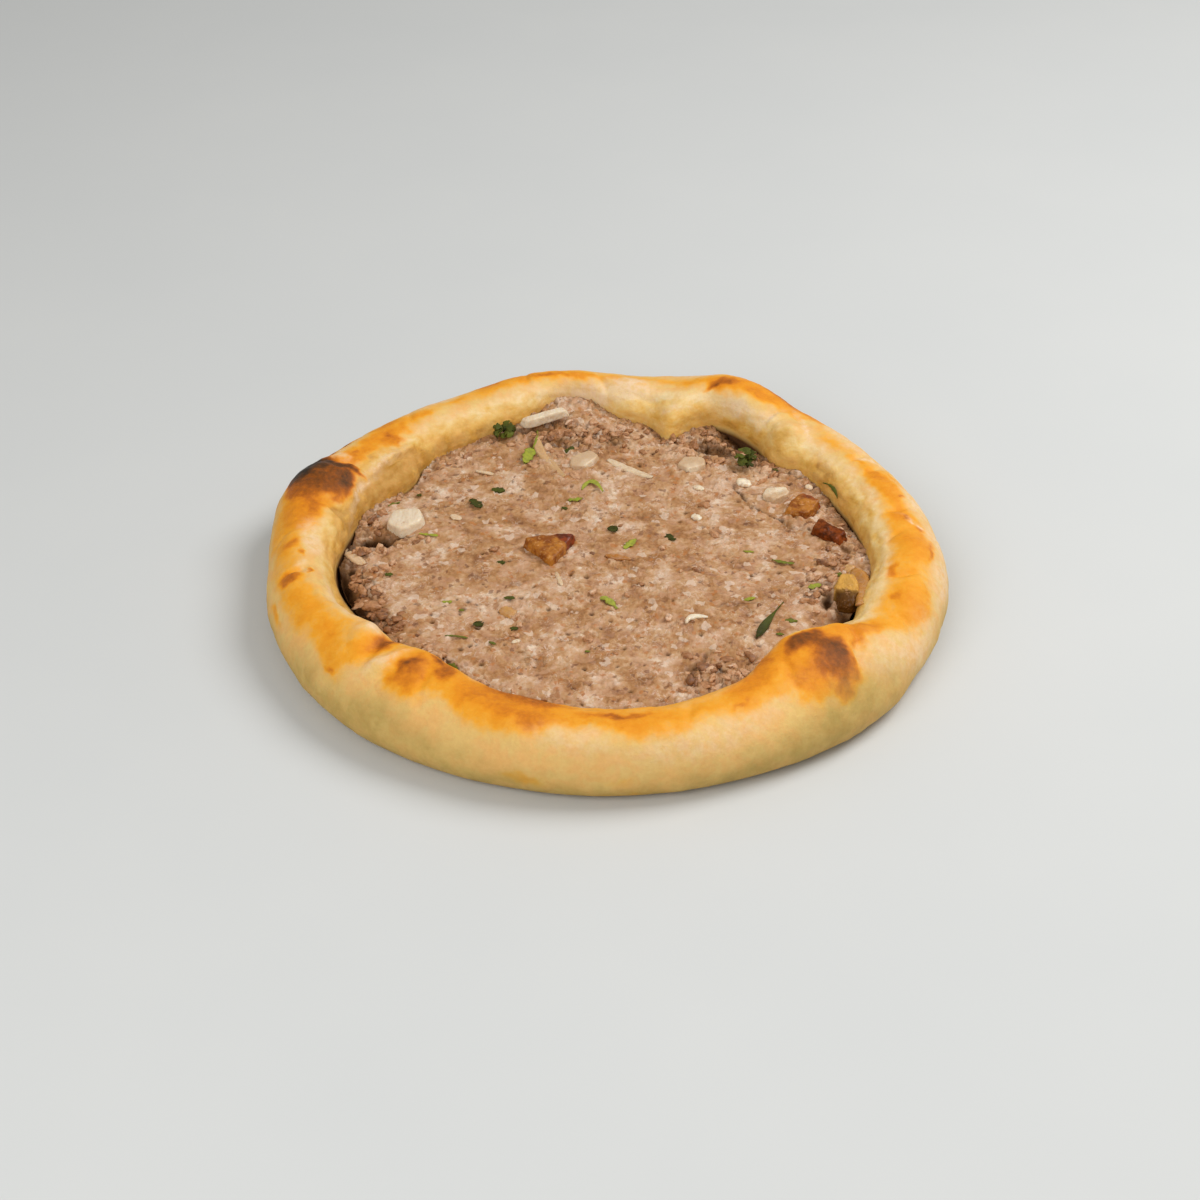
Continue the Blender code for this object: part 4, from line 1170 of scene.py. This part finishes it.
    # The side drops from the top's edge to the floor of the well.
    loop = np.concatenate([index[0, :-1], index[:-1, -1], index[-1, :0:-1], index[:0:-1, 0]])
    rim_angle = angle.ravel()[loop]
    well = section_sizes(rim_angle)[3]
    verts, faces = [top], [quads]
    previous, count = loop, len(loop)
    start = len(top)
    for inset, height in ((1.0, 6.4), (2.0, FLOOR_Z + 0.35), (12.0, FLOOR_Z + 0.35), (40.0, FLOOR_Z + 0.35)):
        rr = np.maximum(well - inset, 3.0)
        ring = np.stack(
            [
                rr * np.cos(np.radians(rim_angle)) - CENTRE[0],
                rr * np.sin(np.radians(rim_angle)) - CENTRE[1],
                np.full(count, height),
            ],
            axis=1,
        )
        now = start + np.arange(count)
        faces.append(
            np.stack([previous, now, np.roll(now, -1), np.roll(previous, -1)], axis=1)
        )
        verts.append(ring)
        previous = now
        start += count
    verts = np.concatenate(verts)
    mesh = mesh_of("meat_top", verts, np.concatenate(faces))
    close_ring(mesh, len(verts) - count, count, True)
    extra = len(verts) - n * n
    crisp = 0.7 * ramp(crumbly, 0.25, 0.9) * (0.55 + 0.45 * ramp(lump_tag, 0.2, 0.8))
    paint(mesh, "crisp", np.concatenate([crisp.ravel(), np.ones(extra)]))
    # The meat's side, down in the well, is painted dark as shade.
    paint(mesh, "deep_shade", np.concatenate([deep_shade.ravel(), np.full(extra, 0.9)]))
    paint(mesh, "tone", np.concatenate([tone.ravel(), np.zeros(extra)]))
    return mesh


# Where the mince is broken into loose, browner crumbs: angle, radius, half
# width (degrees), half depth (mm), strength.
CRUMB_ZONES = (
    ("back", 104.0, 42.0, 8.0, 5.0, 1.1),
    ("back_middle", 88.0, 40.0, 7.0, 4.0, 0.7),
    ("back_right", 63.0, 42.5, 8.0, 4.6, 1.1),
    ("back_right_edge", 46.0, 43.0, 8.0, 3.0, 0.7),
    ("left", 174.0, 43.0, 6.5, 4.4, 1.2),
    ("left_front", 197.0, 45.0, 11.0, 2.4, 1.0),
    ("front_left", 229.0, 43.5, 5.0, 1.6, 0.5),
    ("front_right", 296.0, 41.0, 8.0, 3.6, 0.9),
    ("right", 342.0, 41.0, 8.0, 3.4, 0.8),
    ("right_back", 4.0, 43.0, 9.0, 3.0, 0.7),
)


def crumb_zone(angle, r):
    total = np.zeros(np.shape(angle))
    for _, at, radius, half, depth, strength in CRUMB_ZONES:
        total = total + strength * swell(angle, at, half) * np.exp(-(((r - radius) / depth) ** 2))
    return total


# ----------------------------------------------------------------- view point
CAMERA_AT = (0.005, -364.574, 255.560)
CAMERA_AIM = (-0.886, -3.116, 0.0)
CAMERA_LENS = 71.347
SENSOR = 36.0
PHOTO = 1200.0


def make_camera():
    data = bpy.data.cameras.new("view")
    data.sensor_width = SENSOR
    data.lens = CAMERA_LENS
    data.clip_start = 0.01
    data.clip_end = 20.0
    camera = bpy.data.objects.new("view", data)
    bpy.context.scene.collection.objects.link(camera)
    camera.location = Vector(CAMERA_AT) * MM
    aim = Vector(CAMERA_AIM) * MM - camera.location
    camera.rotation_euler = aim.to_track_quat("-Z", "Y").to_euler()
    bpy.context.scene.camera = camera
    return camera


def sight(px, py):
    """Start and direction, in mm, of the line of sight through a point of the 1200 frame."""
    start = Vector(CAMERA_AT)
    ahead = (Vector(CAMERA_AIM) - start).normalized()
    right = ahead.cross(Vector((0, 0, 1))).normalized()
    up = right.cross(ahead)
    focal = CAMERA_LENS / SENSOR * PHOTO
    line = ahead + right * ((px - PHOTO / 2) / focal) - up * ((py - PHOTO / 2) / focal)
    return start, line.normalized()


def tree_of(*meshes):
    verts, faces = [], []
    for mesh in meshes:
        start = len(verts)
        verts += [v.co * (1 / MM) for v in mesh.vertices]
        faces += [[start + i for i in p.vertices] for p in mesh.polygons]
    return BVHTree.FromPolygons(verts, faces)


# ------------------------------------------------------------- small pieces
def ball(level):
    """Points of a unit ball and its triangles."""
    bm = bmesh.new()
    bmesh.ops.create_icosphere(bm, subdivisions=level, radius=1.0)
    verts = np.array([v.co[:] for v in bm.verts])
    faces = np.array([[v.index for v in f.verts] for f in bm.faces])
    bm.free()
    return verts, faces


def halves(quads):
    quads = np.asarray(quads)
    return np.concatenate([quads[:, (0, 1, 2)], quads[:, (0, 2, 3)]])


class Heap:
    """Many small meshes joined into one, each with its own tint."""

    def __init__(self):
        self.verts, self.faces, self.tints, self.start = [], [], [], 0

    def add(self, verts, faces, tint=0.5):
        self.verts.append(verts)
        self.faces.append(np.asarray(faces) + self.start)
        self.tints.append(np.broadcast_to(np.asarray(tint, float), (len(verts),)))
        self.start += len(verts)

    def mesh(self, name):
        mesh = mesh_of(name, np.concatenate(self.verts), np.concatenate(self.faces))
        paint(mesh, "tint", np.concatenate(self.tints))
        return mesh


def ribbon(path, up, width, thick, seed, lobes=0.2, cup=0.0, steps=18, across=5, blunt=0.5, skew=1.0):
    """Thin closed strip along a path of two or three points, lying square to up, widest beyond its middle if skewed."""
    path = [np.array(p, float) for p in path]
    t = np.linspace(0, 1, steps + 1)[:, None]
    if len(path) == 2:
        line = path[0] * (1 - t) + path[1] * t
    else:
        line = path[0] * (1 - t) ** 2 + 2 * t * (1 - t) * (2 * path[1] - (path[0] + path[2]) / 2) + path[2] * t**2
    up = np.array(up, float)
    ahead = np.gradient(line, axis=0)
    ahead /= np.maximum(np.linalg.norm(ahead, axis=1, keepdims=True), 1e-9)
    side = np.cross(up, ahead)
    side /= np.maximum(np.linalg.norm(side, axis=1, keepdims=True), 1e-9)
    t = t[:, 0]
    half = 0.5 * width * np.maximum(np.sin(math.pi * np.clip(t**skew, 0.03, 0.97)), 0.0) ** blunt
    half = half * (1 + lobes * waves(t * 5, seed * 3.1, 0.0, 1.0, 51))
    ring = 2 * across
    k = np.arange(ring)
    v = np.where(k <= across, -1 + 2 * k / across, 3 - 2 * k / across)
    face = np.where(k <= across, 1.0, -1.0)
    rows = []
    for i in range(steps + 1):
        lift = 0.5 * thick * face * (1 - v**4) * math.sin(math.pi * min(max(t[i], 0.04), 0.96)) ** 0.3
        lift = lift + cup * width * v**2 + 0.10 * width * waves(v * 1.5, t[i] * 3, seed * 1.7, 1.0, 52)
        rows.append(line[i] + side[i] * (half[i] * v)[:, None] + up * lift[:, None])
    verts = np.concatenate(rows)
    i = np.arange(ring)
    j = (i + 1) % ring
    quads = np.concatenate(
        [np.stack([a + i, a + j, a + ring + j, a + ring + i], 1) for a in range(0, steps * ring, ring)]
    )
    caps = [[0, i + 1, i] for i in range(1, ring - 1)]
    last = steps * ring
    caps += [[last, last + i, last + i + 1] for i in range(1, ring - 1)]
    faces = np.concatenate([halves(quads)[:, ::-1], np.array(caps)[:, ::-1]])
    return verts, faces


def crumb(rng, base, size):
    """Torn, angular crumb of mince about its middle."""
    d = base
    where = rng.uniform(-50, 50, 3)
    # The room left by a few cuts at random, with its corners eased.
    cuts = rng.normal(size=(9, 3))
    cuts /= np.linalg.norm(cuts, axis=1, keepdims=True)
    reach = rng.uniform(0.50, 1.15, 9)
    r = (((np.maximum(d @ cuts.T, 0.0) / reach) ** 10).sum(axis=1) + 1e-9) ** (-1 / 10)
    r = np.clip(r, 0.45, 1.35)
    r += 0.36 * waves(d[:, 0] + where[0], d[:, 1] + where[1], d[:, 2] + where[2], 0.8, 61)
    r += 0.24 * waves(d[:, 0] + where[0], d[:, 1] + where[1], d[:, 2] + where[2], 0.38, 62)
    stretch = np.array([rng.uniform(0.9, 1.45), rng.uniform(0.7, 1.0), rng.uniform(0.55, 0.8)])
    p = d * r[:, None] * stretch * size / 2
    a = rng.uniform(0, 2 * math.pi)
    c, s = math.cos(a), math.sin(a)
    return p @ np.array([[c, s, 0], [-s, c, 0], [0, 0, 1]])


TOPPINGS = (
    # name, kind, x, y, top z, length, width, thickness, turn, lean, corners, taper
    ("tomato_middle", "tomato", -10.8, -0.4, 11.0, 9.6, 11.0, 4.2, 96.0, 5.0, 3, 0.84),
    ("onion_left", "onion", -38.2, 9.1, 10.4, 7.8, 7.8, 2.6, 14.0, 7.0, 5, 0.86),
    ("onion_strip_back", "onion", -12.4, 43.9, 12.2, 10.6, 2.4, 1.9, 19.0, 8.0, 4, 0.8),
    ("onion_back", "onion", -4.8, 30.6, 10.0, 7.4, 5.4, 2.2, 38.0, 5.0, 5, 0.82),
    ("onion_back_right", "onion", 16.4, 29.6, 9.9, 6.2, 5.4, 2.2, 8.0, 2.0, 5, 0.85),
    ("onion_right", "onion", 32.2, 18.6, 10.0, 6.0, 5.0, 2.4, 22.0, 0.0, 5, 0.85),
    ("tomato_right_back", "tomato", 37.2, 14.2, 10.3, 6.8, 5.6, 3.0, 64.0, 3.0, 4, 0.85),
    ("tomato_right", "tomato", 41.4, 5.2, 10.3, 7.6, 4.2, 2.8, -38.0, -4.0, 4, 0.82),
    ("onion_slice_right", "onion_baked", 43.2, -14.2, 10.8, 10.8, 5.2, 2.8, 82.0, 6.0, 6, 0.8),
    ("parsley_back_left", "parsley", -20.6, 40.8, 10.6, 5.4, 4.6, 1.9, 64.0, 10.0, 5, 0.75),
    ("parsley_back_right", "parsley", 27.4, 30.0, 10.8, 5.6, 4.0, 2.0, 80.0, 8.0, 5, 0.75),
)
# name: edge sharpness, unevenness (mm), side of the skin, browning or painted
# shade (direction in degrees from the piece's length, or None), how much of the
# piece it covers and how soft its border is.
TOPPING_LOOKS = {
    "tomato_middle": (10.0, 0.24, 300.0, 0.30, 0.12),
    "onion_left": (7.0, 0.10, None, 0.0, 0.1),
    "onion_strip_back": (6.0, 0.18, None, 0.0, 0.1),
    "onion_back": (8.0, 0.14, 90.0, 1.8, 0.5),
    "onion_back_right": (8.0, 0.14, 90.0, 1.8, 0.5),
    "onion_right": (9.0, 0.24, 270.0, 0.9, 0.5),
    "tomato_right_back": (7.0, 0.40, 0.0, 0.4, 0.4),
    "tomato_right": (8.0, 0.42, 0.0, 1.9, 0.3),
    # The slice's dark front end is browning with painted shade.
    "onion_slice_right": (6.5, 0.52, 180.0, 0.62, 0.45),
}


def topping_outline(corners, length, width):
    """Corners of an uneven cut piece, as (x, y) in mm about its middle."""
    points = []
    for i in range(corners):
        a = 2 * math.pi * (i + 0.5) / corners
        wobble = 1.0 + 0.13 * math.cos(2.3 * i + corners)
        points.append(
            (0.5 * length * wobble * math.cos(a), 0.5 * width * wobble * math.sin(a))
        )
    long_side = max(p[0] for p in points) - min(p[0] for p in points)
    short_side = max(p[1] for p in points) - min(p[1] for p in points)
    return [(x * length / long_side, y * width / short_side) for x, y in points]


def laid(points, x, y, top, turn, lean):
    """Points of a topping's own frame, its top face at z = 0, moved to its place."""
    a, b = math.radians(turn), math.radians(-lean)
    tilt = np.array([[math.cos(b), 0, math.sin(b)], [0, 1, 0], [-math.sin(b), 0, math.cos(b)]])
    spin = np.array([[math.cos(a), -math.sin(a), 0], [math.sin(a), math.cos(a), 0], [0, 0, 1]])
    return points @ (spin @ tilt).T + np.array([x - CENTRE[0], y - CENTRE[1], top])


def chunk(name, x, y, top, length, width, thick, turn, lean, corners, taper):
    """Rounded, uneven cut piece in the place of its solid, and how much of each point is skin."""
    sharp, uneven, skin_side, skin_share, soft = TOPPING_LOOKS[name]
    d, faces = ball(6)
    outline = topping_outline(corners, length * 1.03, width * 1.03)
    total = np.zeros(len(d))
    for (ax, ay), (bx, by) in zip(outline, outline[1:] + outline[:1]):
        edge = math.hypot(bx - ax, by - ay)
        nx, ny = (by - ay) / edge, -(bx - ax) / edge
        reach = nx * ax + ny * ay
        slope = (1 - taper) * reach / thick
        size = math.sqrt(1 + slope**2)
        side = np.maximum(0, (d[:, 0] * nx + d[:, 1] * ny + d[:, 2] * slope) / size)
        total += (side / (reach * (1 + taper) / 2 / size)) ** sharp
    total += (np.abs(d[:, 2]) / (thick / 2)) ** sharp
    r = total ** (-1 / sharp)
    seed = len(name) * 7.3
    p = d * r[:, None]
    dent = sum(
        share * waves(p[:, 0] + seed, p[:, 1], p[:, 2], size, number)
        for share, size, number in ((1.0, 2.3, 71), (0.5, 0.95, 72), (0.22, 0.45, 74))
    )
    p = p + d * (uneven * dent)[:, None]
    p[:, 2] -= thick / 2 - 0.12
    skin = np.zeros(len(d))
    if skin_side is not None:
        a = math.radians(skin_side)
        facing = d[:, 0] * math.cos(a) + d[:, 1] * math.sin(a)
        skin = ramp(facing + 0.2 * waves(p[:, 0], p[:, 1], p[:, 2], 1.4, 73), 1 - skin_share - soft, 1 - skin_share + soft)
    return laid(p, x, y, top, turn, lean), faces, skin


def leaf_clump(name, x, y, top, length, width, thick, turn, lean):
    """Curled leaf lobes bunched in the place of the leaf's solid."""
    rng = np.random.default_rng(len(name))
    heap = Heap()
    for i in range(11):
        a = 2 * math.pi * (i + rng.uniform(-0.2, 0.2)) / 11 * 2.4
        near = rng.uniform(0.05, 0.45)
        far = near + rng.uniform(0.3, 0.55)
        reach = np.array([length * 0.7, width * 0.7, 0])
        z = rng.uniform(-0.9, 0.15) * thick * 0.6
        start = np.array([math.cos(a) * near, math.sin(a) * near, 0]) * reach * 0.6
        end = np.array([math.cos(a + 0.4) * far, math.sin(a + 0.4) * far, 0]) * reach
        start[2], end[2] = z, z - rng.uniform(-0.5, 0.9)
        bend = (start + end) / 2 + np.array([0, 0, rng.uniform(0.1, 0.6)])
        up = np.array([rng.uniform(-0.6, 0.6), rng.uniform(-0.6, 0.6), 1.0])
        up /= np.linalg.norm(up)
        verts, faces = ribbon((start, bend, end), up, rng.uniform(1.5, 2.4), 0.22, i + 3.0, 0.7, rng.uniform(-0.2, 0.35), 20, 7)
        heap.add(laid(verts, x, y, top, turn, lean), faces, rng.uniform(0.0, 0.36))
    return heap.mesh(name + "_leaf")


# Flakes of herb on the meat: the ends of each (and its bend, if any) as points of
# the 1200 frame, its width in mm and its tint, 0 dark to 1 bright.
FLAKES = (
    ((492, 489), (505, 492), 1.7, 0.15),
    ((471, 500), (480, 510), 1.9, 0.05),
    ((566, 453), (573, 448), 1.6, 0.12),
    ((417, 495), (421, 497), 0.8, 0.15),
    ((388, 506), (400, 503), 0.8, 0.45),
    ((419, 534), (438, 537), 0.7, 0.80),
    ((568, 500), (582, 500), 1.3, 0.75),
    ((582, 490), (592, 483), (603, 493), 1.1, 0.85),
    ((562, 507), (567, 510), 0.9, 0.20),
    ((609, 528), (617, 533), 1.8, 0.05),
    ((497, 562), (505, 564), 1.2, 0.12),
    ((385, 575), (393, 576), 1.0, 0.20),
    ((442, 602), (452, 603), 1.3, 0.80),
    ((504, 598), (515, 600), 0.9, 0.18),
    ((600, 598), (608, 601), (617, 610), 1.6, 0.90),
    ((524, 464), (531, 451), 2.3, 0.80),
    ((531, 451), (536, 441), (537, 431), 0.6, 0.65),
    ((624, 549), (636, 541), 1.5, 0.85),
    ((664, 534), (675, 541), 1.5, 0.05),
    ((772, 560), (783, 564), (794, 565), 0.9, 0.50),
    ((743, 551), (754, 553), 0.6, 0.70),
    ((808, 588), (821, 586), 1.1, 0.75),
    ((744, 600), (755, 599), 1.3, 0.80),
    ((771, 468), (777, 472), 0.8, 0.20),
    ((835, 576), (842, 574), 0.9, 0.45),
    ((445, 636), (457, 638), (468, 640), 0.8, 0.40),
    ((448, 664), (458, 669), 1.0, 0.50),
    ((475, 623), (482, 628), 1.6, 0.05),
    ((510, 628), (518, 630), 1.1, 0.10),
    ((489, 642), (495, 646), 0.8, 0.35),
    ((585, 651), (590, 653), 0.7, 0.50),
    ((459, 610), (464, 612), 0.6, 0.50),
    ((785, 620), (797, 622), 0.9, 0.40),
    ((776, 634), (784, 636), 0.7, 0.45),
    ((823, 483), (833, 488), (838, 499), 0.55, 0.25),
)
# A pointed blade of leaf: the same columns, from its tip.
BLADE = ((783, 603), (770, 619), (755, 640), 1.6, 0.06)
# Slivers of onion in the meat: the same columns and a thickness in mm, with a
# tint of 0 browned to 1 pale.
SLIVERS = (
    ((692, 516), (701, 520), 1.6, 0.7, 1.0),
    ((687, 624), (692, 618), (708, 618), 1.3, 0.8, 1.0),
    ((476, 471), (493, 475), 1.5, 0.5, 0.7),
    ((451, 516), (461, 520), 1.8, 0.6, 0.7),
    ((694, 487), (704, 490), 1.6, 0.6, 0.9),
    ((738, 481), (750, 487), 2.6, 1.1, 1.0),
    ((501, 611), (516, 617), 2.6, 1.3, 0.25),
    ((605, 556), (631, 560), 1.2, 0.8, 0.05),
    ((537, 437), (543, 456), (565, 477), 2.0, 0.6, 0.42),
    ((608, 460), (626, 469), (652, 478), 2.0, 0.5, 0.75),
    ((347, 551), (354, 558), (364, 565), 2.4, 0.9, 0.66),
    ((806, 486), (812, 490), 1.4, 0.7, 0.8),
    ((512, 643), (520, 641), 1.0, 0.5, 0.8),
    ((556, 573), (562, 586), 1.0, 0.5, 0.7),
    ((846, 566), (853, 574), 2.4, 0.9, 0.3),
    ((853, 572), (862, 587), (860, 606), 4.2, 1.3, 0.10),
)
CRUMBS = 330
# Round spots that the crumbs leave clear: x, y and radius in mm.
CLEAR = ((-45.6, -3.0, 2.8), (46.2, -13.0, 3.4))


def scatter_on(tree, at):
    """Where the line of sight through a point of the frame meets the surface, and the surface's normal there."""
    start, line = sight(*at)
    hit, normal, _, _ = tree.ray_cast(start, line)
    return np.array(hit), np.array(normal)


def make_flakes(tree):
    heap = Heap()
    for i, (*ends, width, tint) in enumerate((*FLAKES, BLADE)):
        blade = i == len(FLAKES)
        hits = [scatter_on(tree, at) for at in ends]
        up = np.mean([n for _, n in hits], axis=0) + np.array([0, 0, 0.6])
        up /= np.linalg.norm(up)
        lift = up * (0.22 + 0.12 * width)
        path = [p + lift for p, _ in hits]
        path[0] = path[0] - lift * 0.8
        lobes, cup = (0.1, 0.2) if blade else (0.7, 0.12 if i % 2 else -0.1)
        verts, faces = ribbon(
            path, up, width, 0.2, i + 1.0, lobes, cup, 24, 6, 0.9 if blade else 0.45, 2.6 if blade else 1.0
        )
        shade = np.clip(tint + (0.35 - 0.5 * np.linspace(0, 1, len(verts)) if blade else 0.0), 0, 1)
        heap.add(verts, faces, shade)
    return heap.mesh("herb_flakes")


def make_slivers(tree):
    heap = Heap()
    for i, (*ends, width, thick, tint) in enumerate(SLIVERS):
        hits = [scatter_on(tree, at) for at in ends]
        up = np.mean([n for _, n in hits], axis=0) + np.array([0, 0, 0.8])
        up /= np.linalg.norm(up)
        path = [p + up * thick * 0.25 for p, _ in hits]
        verts, faces = ribbon(path, up, width, thick, i + 40.0, 0.3, 0.0, 22, 8, 0.35)
        heap.add(verts, faces, tint)
    return heap.mesh("onion_slivers")


def in_hollow(x, y, margin):
    """Whether a point lies in one of the dark hollows or on a topping, where no crumb stands."""
    if any(math.hypot(x - at_x, y - at_y) < radius for at_x, at_y, radius in CLEAR):
        return True
    for _, at_x, at_y, along, across, turn, _, _, dark in DIPS:
        c, s = math.cos(math.radians(turn)), math.sin(math.radians(turn))
        u, v = x - at_x, y - at_y
        if dark > 0.5 and math.hypot((u * c + v * s) / (along + margin), (v * c - u * s) / (across + margin)) < 1:
            return True
    for _, _, at_x, at_y, _, length, width, _, turn, *_ in TOPPINGS:
        c, s = math.cos(math.radians(turn)), math.sin(math.radians(turn))
        u, v = x + CENTRE[0] - at_x, y + CENTRE[1] - at_y
        if math.hypot((u * c + v * s) / (length / 2 + margin), (v * c - u * s) / (width / 2 + margin)) < 1:
            return True
    return False


def make_crumbs(tree):
    """Loose crumbs of mince where the filling is broken, most of them near the rim."""
    rng = np.random.default_rng(5)
    base, faces = ball(3)
    heap = Heap()
    placed = 0
    while placed < CRUMBS:
        r = 47.0 * math.sqrt(rng.random())
        angle = rng.random() * 360
        zone = float(crumb_zone(np.array(angle), r))
        edge = float(section_sizes(angle)[3]) - 1.0
        chance = 0.012 + zone + 0.16 * math.exp(-(((edge - 1.0 - r) / 1.4) ** 2))
        if rng.random() > chance or r > edge:
            continue
        size = 0.8 + 1.1 * rng.random() ** 2.0 + 1.1 * zone * (rng.random() < 0.22)
        x = r * math.cos(math.radians(angle)) - CENTRE[0]
        y = r * math.sin(math.radians(angle)) - CENTRE[1]
        if in_hollow(x, y, size / 2):
            continue
        hit, _, _, _ = tree.ray_cast(Vector((x, y, 40)), Vector((0, 0, -1)))
        if hit is None:
            continue
        verts = crumb(rng, base, size) + np.array([x, y, hit.z + 0.06 * size])
        heap.add(verts, faces, 0.05 + 0.85 * rng.random())
        placed += 1
    # Browner crumbs lie in the gap between the meat and the rim on the left.
    for _ in range(34):
        angle = 187.0 + 26.0 * rng.random()
        r = float(section_sizes(angle)[3]) - 2.4 - 2.4 * rng.random()
        x = r * math.cos(math.radians(angle)) - CENTRE[0]
        y = r * math.sin(math.radians(angle)) - CENTRE[1]
        size = 0.8 + 0.9 * rng.random()
        hit, _, _, _ = tree.ray_cast(Vector((x, y, 40)), Vector((0, 0, -1)))
        if hit is None or hit.z < 6.4:
            continue
        verts = crumb(rng, base, size) + np.array([x, y, hit.z + 0.12 * size])
        heap.add(verts, faces, 0.45 * rng.random())
    return heap.mesh("meat_crumbs")


# ------------------------------------------------------------------ main part
def main():
    make_camera()
    dough = dough_material()
    meat = meat_material()
    crust = make_crust()
    add_piece("crust_skin", crust, dough, ("crust",))
    mince = make_meat()
    add_piece("meat_top", mince, meat, ("filling",))

    on_meat = tree_of(mince)
    on_all = tree_of(mince, crust)
    add_piece("meat_crumbs", make_crumbs(on_meat), crumb_material())
    tomato = tomato_material("baked_tomato", (178, 113, 38), (130, 68, 14), (138, 58, 18), (86, 33, 10), 0.12, 0.25)
    scorched = tomato_material("scorched_tomato", (160, 90, 34), (118, 56, 14), (130, 60, 16), (78, 34, 8), 0.04, 0.10)
    onion = onion_material("cooked_onion", (228, 211, 184), (200, 168, 132), 0.5, 0.35, 0.35)
    # The browned onion's dark colour, on the slice's front end, is browning with painted shade.
    browned = onion_material("browned_onion", (212, 160, 76), (86, 52, 14), 0.3, 0.12, 0.12)
    herb = herb_material()
    for name, kind, *sizes in TOPPINGS:
        if kind == "parsley":
            mesh = leaf_clump(name, *sizes[:8])
            add_piece(name + "_leaf", mesh, herb, (name,))
            continue
        verts, faces, skin = chunk(name, *sizes)
        mesh = mesh_of(name + "_piece", verts, faces)
        paint(mesh, "skin", skin)
        made_of = {"tomato": tomato, "onion": onion, "onion_baked": browned}[kind]
        if name == "tomato_right":
            made_of = scorched
        add_piece(name + "_piece", mesh, made_of, (name,))
    add_piece("herb_flakes", make_flakes(on_all), herb)
    add_piece("onion_slivers", make_slivers(on_all), sliver_material())

    # ---- floor and light
    floor_mesh = mesh_of(
        "floor",
        [(-1500, -1500, -0.05), (1500, -1500, -0.05), (1500, 1500, -0.05), (-1500, 1500, -0.05)],
        [(0, 1, 2, 3)],
    )
    paper = Shader("paper", 0.7)
    floor = bpy.data.objects.new("floor", floor_mesh)
    floor_mesh.materials.append(
        paper.done(paper.mix(paper.noise(60.0), (204, 206, 205), (210, 211, 209)))
    )
    bpy.context.scene.collection.objects.link(floor)

    world = bpy.data.worlds.new("studio")
    world.use_nodes = True
    world.node_tree.nodes["Background"].inputs["Color"].default_value = (1.0, 0.99, 0.97, 1.0)
    world.node_tree.nodes["Background"].inputs["Strength"].default_value = 0.38
    bpy.context.scene.world = world
    for name, at, size, watts in (
        ("key", (380.0, 120.0, 500.0), 380.0, 2.7),
        ("fill", (-220.0, -420.0, 380.0), 420.0, 1.6),
    ):
        lamp = bpy.data.lights.new(name, "AREA")
        lamp.shape = "DISK"
        lamp.size = size * MM
        lamp.energy = watts
        light = bpy.data.objects.new(name, lamp)
        light.location = Vector(at) * MM
        light.rotation_euler = (-light.location).to_track_quat("-Z", "Y").to_euler()
        bpy.context.scene.collection.objects.link(light)
    bpy.context.scene.view_settings.view_transform = "Standard"


main()
